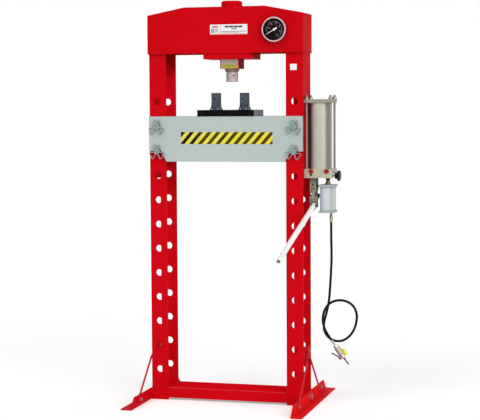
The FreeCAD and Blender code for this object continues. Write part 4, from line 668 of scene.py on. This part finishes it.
def rounded_plate(work, low, high, corner):
    """A thin upright plate from low to high that faces the front, with rounded corners."""
    (x0, front_y, z0), (x1, back_y, z1) = low, high
    centres = (
        (x1 - corner, z1 - corner),
        (x0 + corner, z1 - corner),
        (x0 + corner, z0 + corner),
        (x1 - corner, z0 + corner),
    )
    outline = []
    for quarter, (cx, cz) in enumerate(centres):
        for step in range(CORNER_STEPS + 1):
            angle = math.radians(90 * quarter + 90 * step / CORNER_STEPS)
            outline.append((cx + corner * math.cos(angle), cz + corner * math.sin(angle)))
    back = [work.verts.new((x, back_y, z)) for x, z in outline]
    front = [work.verts.new((x, front_y, z)) for x, z in outline]
    work.faces.new(front)
    work.faces.new(list(reversed(back)))
    for k in range(len(outline)):
        n = (k + 1) % len(outline)
        work.faces.new((front[k], front[n], back[n], back[k]))


def slab(work, low, high):
    corners = [work.verts.new(corner) for corner in product(*zip(low, high))]
    for face in ((0, 1, 3, 2), (4, 6, 7, 5), (0, 4, 5, 1), (2, 3, 7, 6), (0, 2, 6, 4), (1, 5, 7, 3)):
        work.faces.new([corners[k] for k in face])


def sticker(name, place, face, material, corner=None):
    """A thin plate on a front face, at left, right, bottom and top."""
    plates = bpy.context.scene.press_plates
    left, right, bottom, top = place
    corner = corner or min(plates.corner, (right - left) / 3, (top - bottom) / 3)
    low, high = (left, face - plates.thickness, bottom), (right, face, top)
    new_piece(name, mesh_from(name, lambda work: rounded_plate(work, low, high, corner)), material)


def printed_bars(name, places, face, material):
    """Flat bars that stand out of a sticker, each at left, right, bottom and top."""
    thickness = bpy.context.scene.press_plates.thickness
    front, back = face - PRINT_FRONT * thickness, face - PRINT_BACK * thickness

    def build(work):
        for left, right, bottom, top in places:
            slab(work, (left, front, bottom), (right, back, top))

    new_piece(name, mesh_from(name, build), material)


# ------ geometry nodes
class Repeat(Nodes):
    """A Geometry Nodes tree that puts copies of one shape on points, with named inputs for its sizes."""

    def __init__(self, name, sizes, material):
        super().__init__(bpy.data.node_groups.new(name, "GeometryNodeTree"))
        self.name = name
        self.material = material
        self.values = {}
        sockets = self.tree.interface
        sockets.new_socket(name="Geometry", in_out="OUTPUT", socket_type="NodeSocketGeometry")
        for label, value in sizes.items():
            kind = "NodeSocketInt" if isinstance(value, int) else "NodeSocketFloat"
            kind = "NodeSocketVector" if isinstance(value, (tuple, Vector)) else kind
            socket = sockets.new_socket(name=label, in_out="INPUT", socket_type=kind)
            self.values[socket.identifier] = value
        self.inputs = self.add("NodeGroupInput").outputs

    def finish(self, points, shape, rotation=(0.0, 0.0, 0.0)):
        """Puts shape on the points, makes the copies real and gives them the material: a plain mesh."""
        inputs = {"Points": points, "Instance": shape, "Rotation": rotation}
        copies = self.add("GeometryNodeInstanceOnPoints", inputs).outputs["Instances"]
        real = self.add("GeometryNodeRealizeInstances", {"Geometry": copies}).outputs["Geometry"]
        dressed = self.add("GeometryNodeSetMaterial", {"Geometry": real, "Material": self.material})
        self.put(self.add("NodeGroupOutput").inputs["Geometry"], dressed.outputs["Geometry"])
        holder = add_to_scene(self.name + "_holder", bpy.data.meshes.new(self.name + "_holder"))
        modifier = holder.modifiers.new(self.name, "NODES")
        modifier.node_group = self.tree
        for identifier, value in self.values.items():
            modifier[identifier] = value
        mesh = plain_mesh(holder)
        mesh.name = self.name
        return mesh


def marks_on_arc(name, centre, radius, bar, count, dial, material):
    """Bars on an arc that is seen from the front, turned with it; the dial's angles run clockwise from the top."""
    sizes = {"Centre": centre, "Radius": radius, "Bar": bar, "Count": count, "First": dial.first, "Sweep": dial.sweep}
    tree = Repeat(name, sizes, material)
    line = tree.add("GeometryNodeMeshLine", {"Count": tree.inputs["Count"], "Offset": (0, 0, 0)})
    index = tree.add("GeometryNodeInputIndex").outputs[0]
    share = tree.math("DIVIDE", index, tree.math("SUBTRACT", tree.inputs["Count"], 1))
    angle = tree.math("ADD", tree.inputs["First"], tree.math("MULTIPLY", share, tree.inputs["Sweep"]))
    x = tree.math("MULTIPLY", tree.math("SINE", angle), tree.inputs["Radius"])
    z = tree.math("MULTIPLY", tree.math("COSINE", angle), tree.inputs["Radius"])
    offset = tree.add("ShaderNodeCombineXYZ", {"X": x, "Z": z}).outputs[0]
    place = tree.add("ShaderNodeVectorMath", {0: tree.inputs["Centre"], 1: offset}, operation="ADD").outputs[0]
    points = tree.add("GeometryNodeSetPosition", {"Geometry": line.outputs[0], "Position": place}).outputs[0]
    turn = tree.add("FunctionNodeAxisAngleToRotation", {"Axis": (0, 1, 0), "Angle": angle}).outputs[0]
    shape = tree.add("GeometryNodeMeshCube", {"Size": tree.inputs["Bar"]}).outputs["Mesh"]
    return tree.finish(points, shape, turn)


def row_of_points(name, start, step, count, sizes, material):
    """A tree with the sizes of its row and of its shape, and the row's points."""
    tree = Repeat(name, {"Start": Vector(start), "Step": Vector(step), "Count": count, **sizes}, material)
    inputs = {"Count": tree.inputs["Count"], "Start Location": tree.inputs["Start"], "Offset": tree.inputs["Step"]}
    return tree, tree.add("GeometryNodeMeshLine", inputs).outputs[0]


def beads_along(name, start, end, radius, pitch, material):
    """A weld seam: overlapping beads from start to end."""
    run = Vector(end) - Vector(start)
    count = max(2, round(run.length / pitch))
    tree, points = row_of_points(name, start, run / (count - 1), count, {"Radius": radius}, material)
    ball = tree.add("GeometryNodeMeshUVSphere", {"Segments": 10, "Rings": 6, "Radius": tree.inputs["Radius"]})
    smooth = tree.add("GeometryNodeSetShadeSmooth", {"Geometry": ball.outputs["Mesh"]}).outputs[0]
    return tree.finish(points, smooth)


def rings_along(name, start, pitch, count, radius, wire, material):
    """Thread crests: thin rings round an upright rod."""
    tree, points = row_of_points(name, start, (0, 0, pitch), count, {"Radius": radius, "Wire": wire}, material)

    def circle(sides, size):
        inputs = {"Resolution": sides, "Radius": tree.inputs[size]}
        return tree.add("GeometryNodeCurvePrimitiveCircle", inputs).outputs[0]

    swept = {"Curve": circle(20, "Radius"), "Profile Curve": circle(4, "Wire")}
    return tree.finish(points, tree.add("GeometryNodeCurveToMesh", swept).outputs[0])


# ------ settings
class StageSettings(bpy.types.PropertyGroup):
    camera_place: FloatVectorProperty(
        name="Camera place",
        description="Where the camera stands",
        default=(1.81943, -6.47221, 1.33566),
        subtype="TRANSLATION",
        unit="LENGTH",
    )
    azimuth: FloatProperty(
        name="Azimuth", description="Turn to the left of the view", default=math.radians(15.3347), subtype="ANGLE"
    )
    pitch: FloatProperty(
        name="Pitch", description="Tilt down of the view", default=math.radians(4.0275), subtype="ANGLE"
    )
    roll: FloatProperty(name="Roll", description="Roll of the view", default=math.radians(-0.3276), subtype="ANGLE")
    lens: FloatProperty(
        name="Lens", description="Focal length in millimetres on a 36 mm sensor", default=112.12, unit="CAMERA"
    )
    key: FloatProperty(name="Key light", description="Strength of the main light", default=0.75)
    fill: FloatProperty(name="Fill light", description="Strength of the second light", default=1.5)
    sky: FloatProperty(name="Sky light", description="Strength of the even light from all sides", default=0.45)


def colour_setting(name, description, default):
    return FloatVectorProperty(
        name=name, description=description, default=default, size=4, min=0.0, max=1.0, subtype="COLOR"
    )


class PaintSettings(bpy.types.PropertyGroup):
    frame: colour_setting("Frame", "Paint of the head, the posts, the crossbeam and the left foot", srgb(206, 10, 22))
    bed: colour_setting("Bed", "Coat of the bed's plates", srgb(186, 198, 194))
    handle: colour_setting("Handle", "Paint of the lever's handle", srgb(252, 252, 252))
    reservoir: colour_setting("Reservoir", "Tone of the reservoir's tube", srgb(196, 194, 178))
    motor: colour_setting("Motor", "Tone of the air motor's skin", srgb(206, 214, 211))
    sleeve: colour_setting("Sleeve", "Plastic of the valve's sleeve", srgb(224, 226, 66))


class HoseSettings(bpy.types.PropertyGroup):
    diameter: FloatProperty(
        name="Diameter", description="Outer diameter of the air hose", default=0.011, unit="LENGTH"
    )
    length: FloatProperty(name="Length", description="Length of the air hose", default=HOSE_LENGTH, unit="LENGTH")


class StripSettings(bpy.types.PropertyGroup):
    left: FloatProperty(name="Left end", description="Place of the strip's left end", default=-0.203, unit="LENGTH")
    right: FloatProperty(name="Right end", description="Place of the strip's right end", default=0.219, unit="LENGTH")
    bottom: FloatProperty(name="Bottom", description="Height of the strip's lower edge", default=1.162, unit="LENGTH")
    top: FloatProperty(name="Top", description="Height of the strip's upper edge", default=1.215, unit="LENGTH")
    period: FloatProperty(name="Period", description="Distance from stripe to stripe", default=0.041, unit="LENGTH")
    lean: FloatProperty(name="Lean", description="Sideways shift of a stripe for each unit of height", default=0.88)
    phase: FloatProperty(name="Phase", description="Place of the first stripe", default=0.0, unit="LENGTH")
    black_share: FloatProperty(
        name="Black share", description="Share of the strip that is black", default=0.5, subtype="FACTOR"
    )


class PlateSettings(bpy.types.PropertyGroup):
    thickness: FloatProperty(
        name="Thickness", description="Thickness of the plates and stickers", default=0.0006, unit="LENGTH"
    )
    corner: FloatProperty(name="Corner", description="Corner radius of the plates", default=0.0025, unit="LENGTH")


class DialSettings(bpy.types.PropertyGroup):
    radius: FloatProperty(name="Scale radius", description="Radius of the scale's arc", default=0.0335, unit="LENGTH")
    first: FloatProperty(
        name="First mark",
        description="Angle of zero, clockwise from the top",
        default=math.radians(240),
        subtype="ANGLE",
    )
    sweep: FloatProperty(
        name="Sweep", description="Angle from the first mark to the last", default=math.radians(270), subtype="ANGLE"
    )
    marks: IntProperty(name="Numbers", description="Count of the numbered marks", default=7)
    step: IntProperty(name="Step", description="Step from number to number", default=10)


class SeamSettings(bpy.types.PropertyGroup):
    radius: FloatProperty(name="Bead", description="Radius of a weld bead", default=0.0022, unit="LENGTH")
    pitch: FloatProperty(name="Pitch", description="Distance from bead to bead", default=0.0026, unit="LENGTH")


# ------ operators
class PRESS_OT_finishes(bpy.types.Operator):
    """Give every carried-over piece the finish of its slot"""

    bl_idname = "press.finishes"
    bl_label = "Finishes"

    def execute(self, context):
        made.clear()
        for part in frame["record"]["subparts"]:
            for place in frame["nodes"][part["node"]].material_slots:
                place.material = finish_of(part["material_slot"], part["node"])
        return {"FINISHED"}


class PRESS_OT_hose(bpy.types.Operator):
    """Lay the air hose along its route"""

    bl_idname = "press.hose"
    bl_label = "Air hose"

    def execute(self, context):
        settings = context.scene.press_hose
        curve = bpy.data.curves.new("air_hose_line", "CURVE")
        curve.dimensions = "3D"
        curve.resolution_u = 16
        curve.bevel_depth = settings.diameter / 2
        curve.bevel_resolution = 6
        curve.use_fill_caps = True
        spline = curve.splines.new("NURBS")
        spline.points.add(len(HOSE_ROUTE) - 1)
        for point, place in zip(spline.points, HOSE_ROUTE):
            point.co = (*place, 1.0)
        spline.order_u = 3
        spline.use_endpoint_u = True
        curve.materials.append(finish_of("hose_rubber"))
        hose = add_to_scene("air_hose_rubber", curve)
        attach(hose, "frame")
        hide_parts("air_hose")
        return {"FINISHED"}


class PRESS_OT_hazard_strip(bpy.types.Operator):
    """Stick the striped strip on the front of the bed"""

    bl_idname = "press.hazard_strip"
    bl_label = "Hazard strip"

    def execute(self, context):
        strip = context.scene.press_strip
        place = (strip.left, strip.right, strip.bottom, strip.top)
        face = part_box("bed_front_plate")[0].y
        stripes = hazard_stripes(strip).material
        sticker("hazard_strip", place, face, stripes, context.scene.press_plates.corner / 2)
        return {"FINISHED"}


class PRESS_OT_plates(bpy.types.Operator):
    """Stick the blank label plates on the head, the post and the nose block"""

    bl_idname = "press.plates"
    bl_label = "Label plates"

    def execute(self, context):
        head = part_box("head_front_plate")[0].y
        prints = {name: printed(name, *values).material for name, values in PRINTS.items()}
        sticker("rating_plate", RATING_PLATE, head, prints["plate_white"])
        for name, ink, places in RATING_PRINT:
            printed_bars(name, places, head, prints[ink])
        sticker("post_sticker", POST_STICKER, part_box("post_right_front_plate")[0].y, prints["plate_white"])
        low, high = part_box("cylinder_nose_block")
        left, right = low.x + STICKER_RIM[0], high.x - STICKER_RIM[0]
        bottom, top = low.z + STICKER_RIM[1], high.z - STICKER_RIM[1]
        sticker("nose_sticker", (left, right, bottom, top), low.y, prints["sticker_pale"])
        band = (left + BAND_RIM, right - BAND_RIM, bottom + BAND_RIM, bottom + BAND_TOP)
        printed_bars("nose_sticker_band", (band,), low.y, prints["sticker_yellow_print"])
        return {"FINISHED"}


class PRESS_OT_gauge_face(bpy.types.Operator):
    """Print the scale and the numbers on the gauge's dial"""

    bl_idname = "press.gauge_face"
    bl_label = "Gauge face"

    def execute(self, context):
        dial = context.scene.press_dial
        low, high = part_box("gauge_dial")
        centre = Vector(((low.x + high.x) / 2, low.y - MARK_LIFT, (low.z + high.z) / 2))
        ink = printed("dial_ink", srgb(150, 128, 148), 0.5, 0.02).material
        red_ink = printed("dial_red_ink", srgb(130, 70, 74), 0.5, 0.02).material
        rings = (
            ("dial_long_marks", dial.radius + LONG_MARK_OUT, LONG_MARK, dial.marks),
            ("dial_short_marks", dial.radius + SHORT_MARK_OUT, SHORT_MARK, 5 * (dial.marks - 1) + 1),
            ("dial_arc", dial.radius, ARC_MARK, ARC_MARKS),
        )
        scale = [marks_on_arc(name, centre, radius, bar, count, dial, ink) for name, radius, bar, count in rings]
        new_piece("dial_scale", joined("dial_scale", scale), ink)
        halves, radius = 2 * dial.marks - 1, dial.radius * INNER_SHARE
        inner = marks_on_arc("dial_inner_marks", centre, radius, INNER_MARK, halves, dial, red_ink)
        new_piece("dial_inner_marks", inner, red_ink)
        numbers = []
        for k in range(dial.marks):
            angle = dial.first + dial.sweep * k / (dial.marks - 1)
            place = centre + Vector((math.sin(angle), 0, math.cos(angle))) * dial.radius * NUMBER_SHARE
            numbers.append(self.number(str(k * dial.step), place))
        new_piece("dial_numbers", joined("dial_numbers", numbers), ink)
        return {"FINISHED"}

    def number(self, text, place):
        curve = bpy.data.curves.new("dial_number", "FONT")
        curve.body = text
        curve.size = NUMBER_HEIGHT
        curve.extrude = NUMBER_DEPTH
        curve.align_x = "CENTER"
        curve.align_y = "CENTER"
        mesh = plain_mesh(add_to_scene("dial_number", curve))
        mesh.transform(Matrix.Translation(place) @ Matrix.Rotation(math.radians(90), 4, "X"))
        return mesh


class PRESS_OT_seams(bpy.types.Operator):
    """Run the weld seams where the frame's plates meet"""

    bl_idname = "press.seams"
    bl_label = "Weld seams"

    def execute(self, context):
        seams = context.scene.press_seams
        red = finish_of("red_paint")
        low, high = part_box("bottom_crossbeam")
        runs = []
        for x in (low.x, high.x):
            for y in (low.y, high.y):
                runs.append(((x, y, low.z), (x, y, high.z)))
            runs.append(((x, low.y, high.z), (x, high.y, high.z)))
        low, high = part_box("cylinder_seat_plate")
        for y in (low.y, high.y):
            runs.append(((low.x, y, high.z), (high.x, y, high.z)))
        head_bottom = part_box("head_front_plate")[0].z
        for name in ("post_left_front_plate", "post_right_front_plate"):
            low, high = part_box(name)
            runs.append(((low.x, low.y, head_bottom), (high.x, low.y, head_bottom)))
        meshes = [
            beads_along(f"seam_{k}", start, end, seams.radius, seams.pitch, red)
            for k, (start, end) in enumerate(runs)
        ]
        new_piece("weld_seams", joined("weld_seams", meshes), red)
        return {"FINISHED"}


class PRESS_OT_threads(bpy.types.Operator):
    """Cut the thread crests on the tie rods' ends"""

    bl_idname = "press.threads"
    bl_label = "Threads"

    def execute(self, context):
        low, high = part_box("tie_rods")
        nuts_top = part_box("tie_rod_nuts")[1].z
        steel = finish_of("zinc", "tie_rods")
        count = int((high.z - nuts_top) / THREAD_PITCH)
        meshes = []
        for x in (low.x + ROD_RADIUS, high.x - ROD_RADIUS):
            for y in (low.y + ROD_RADIUS, high.y - ROD_RADIUS):
                start = (x, y, nuts_top + THREAD_PITCH / 2)
                name = f"thread_{len(meshes)}"
                meshes.append(rings_along(name, start, THREAD_PITCH, count, ROD_RADIUS, THREAD_CREST, steel))
        new_piece("tie_rod_threads", joined("tie_rod_threads", meshes), steel)
        return {"FINISHED"}


class PRESS_OT_stage(bpy.types.Operator):
    """Set up the floor, the lights and the camera"""

    bl_idname = "press.stage"
    bl_label = "Stage"

    def execute(self, context):
        settings = context.scene.press_stage
        self.floor()
        self.world(settings.sky)
        self.lamp("key_light", settings.key, KEY_FROM, KEY_SOFTNESS)
        self.lamp("fill_light", settings.fill, FILL_FROM, FILL_SOFTNESS)
        self.camera(context.scene, settings)
        context.scene.view_settings.view_transform = "Standard"
        return {"FINISHED"}

    def floor(self):
        def build(work):
            corners = ((-1, -1), (1, -1), (1, 1), (-1, 1))
            work.faces.new([work.verts.new((x * FLOOR_REACH, y * FLOOR_REACH, 0.0)) for x, y in corners])

        finish = Finish("floor_pale")
        finish.set(base_color=(0.82, 0.82, 0.82, 1.0), roughness=0.9, specular_ior_level=0.0, emission_color=WHITE)
        finish.set(emission_strength=finish.math("MULTIPLY", finish.plain_rays(), FLOOR_GLOW))
        mesh = mesh_from("floor", build)
        mesh.materials.append(finish.material)
        floor = add_to_scene("floor", mesh)

    def world(self, strength):
        """White to look at, while its light is only as strong as it is set."""
        world = bpy.data.worlds.new("studio")
        world.use_nodes = True
        bpy.context.scene.world = world
        nodes = Nodes(world.node_tree)
        lit = nodes.tree.nodes["Background"]
        nodes.put(lit.inputs["Color"], WHITE)
        nodes.put(lit.inputs["Strength"], strength)
        shown = nodes.add("ShaderNodeBackground", {"Color": WHITE})
        blend = nodes.add("ShaderNodeMixShader", {0: nodes.plain_rays(), 1: lit.outputs[0], 2: shown.outputs[0]})
        nodes.put(nodes.tree.nodes["World Output"].inputs["Surface"], blend.outputs[0])

    def lamp(self, name, strength, place, softness):
        """A soft distant light from place: degrees to the right of the front, and degrees up."""
        data = bpy.data.lights.new(name, "SUN")
        data.energy = strength
        data.angle = math.radians(softness)
        lamp = add_to_scene(name, data)
        side, rise = (math.radians(angle) for angle in place)
        source = Vector((math.sin(side) * math.cos(rise), -math.cos(side) * math.cos(rise), math.sin(rise)))
        lamp.rotation_euler = source.to_track_quat("Z", "Y").to_euler()

    def camera(self, scene, settings):
        data = bpy.data.cameras.new("camera")
        data.sensor_fit = "HORIZONTAL"
        data.sensor_width = 36.0
        data.lens = settings.lens
        data.clip_end = 200.0
        azimuth, pitch, roll = settings.azimuth, settings.pitch, settings.roll
        ahead = Vector((-math.sin(azimuth) * math.cos(pitch), math.cos(azimuth) * math.cos(pitch), -math.sin(pitch)))
        level = Vector((math.cos(azimuth), math.sin(azimuth), 0.0))
        above = level.cross(ahead)
        right = level * math.cos(roll) + above * math.sin(roll)
        up = above * math.cos(roll) - level * math.sin(roll)
        turn = Matrix((right, up, -ahead)).transposed().to_4x4()
        camera = add_to_scene("camera", data)
        camera.matrix_world = Matrix.Translation(settings.camera_place) @ turn
        scene.camera = camera


class PRESS_PT_panel(bpy.types.Panel):
    """Lists the press's pieces and their sizes"""

    bl_idname = "PRESS_PT_panel"
    bl_label = "Hydraulic Press"
    bl_space_type = "VIEW_3D"
    bl_region_type = "UI"
    bl_category = "Press"

    def draw(self, context):
        for operator, holder in STEPS:
            box = self.layout.box()
            box.operator(operator.bl_idname)
            if holder:
                settings = getattr(context.scene, holder)
                for name in settings.__annotations__:
                    box.prop(settings, name)


SETTINGS = {
    "press_stage": StageSettings,
    "press_paints": PaintSettings,
    "press_hose": HoseSettings,
    "press_strip": StripSettings,
    "press_plates": PlateSettings,
    "press_dial": DialSettings,
    "press_seams": SeamSettings,
}
STEPS = (
    (PRESS_OT_stage, "press_stage"),
    (PRESS_OT_finishes, "press_paints"),
    (PRESS_OT_hose, "press_hose"),
    (PRESS_OT_hazard_strip, "press_strip"),
    (PRESS_OT_plates, "press_plates"),
    (PRESS_OT_gauge_face, "press_dial"),
    (PRESS_OT_seams, "press_seams"),
    (PRESS_OT_threads, None),
)
CLASSES = (*SETTINGS.values(), *(operator for operator, _ in STEPS), PRESS_PT_panel)


def register():
    for item in CLASSES:
        bpy.utils.register_class(item)
    for name, group in SETTINGS.items():
        setattr(bpy.types.Scene, name, PointerProperty(type=group))


def unregister():
    for name in SETTINGS:
        delattr(bpy.types.Scene, name)
    for item in reversed(CLASSES):
        bpy.utils.unregister_class(item)


def main():
    register()
    bpy.ops.press.stage()
    bpy.ops.press.finishes()
    bpy.ops.press.hose()
    bpy.ops.press.hazard_strip()
    bpy.ops.press.plates()
    bpy.ops.press.gauge_face()
    bpy.ops.press.seams()
    bpy.ops.press.threads()


if __name__ == "__main__":
    main()
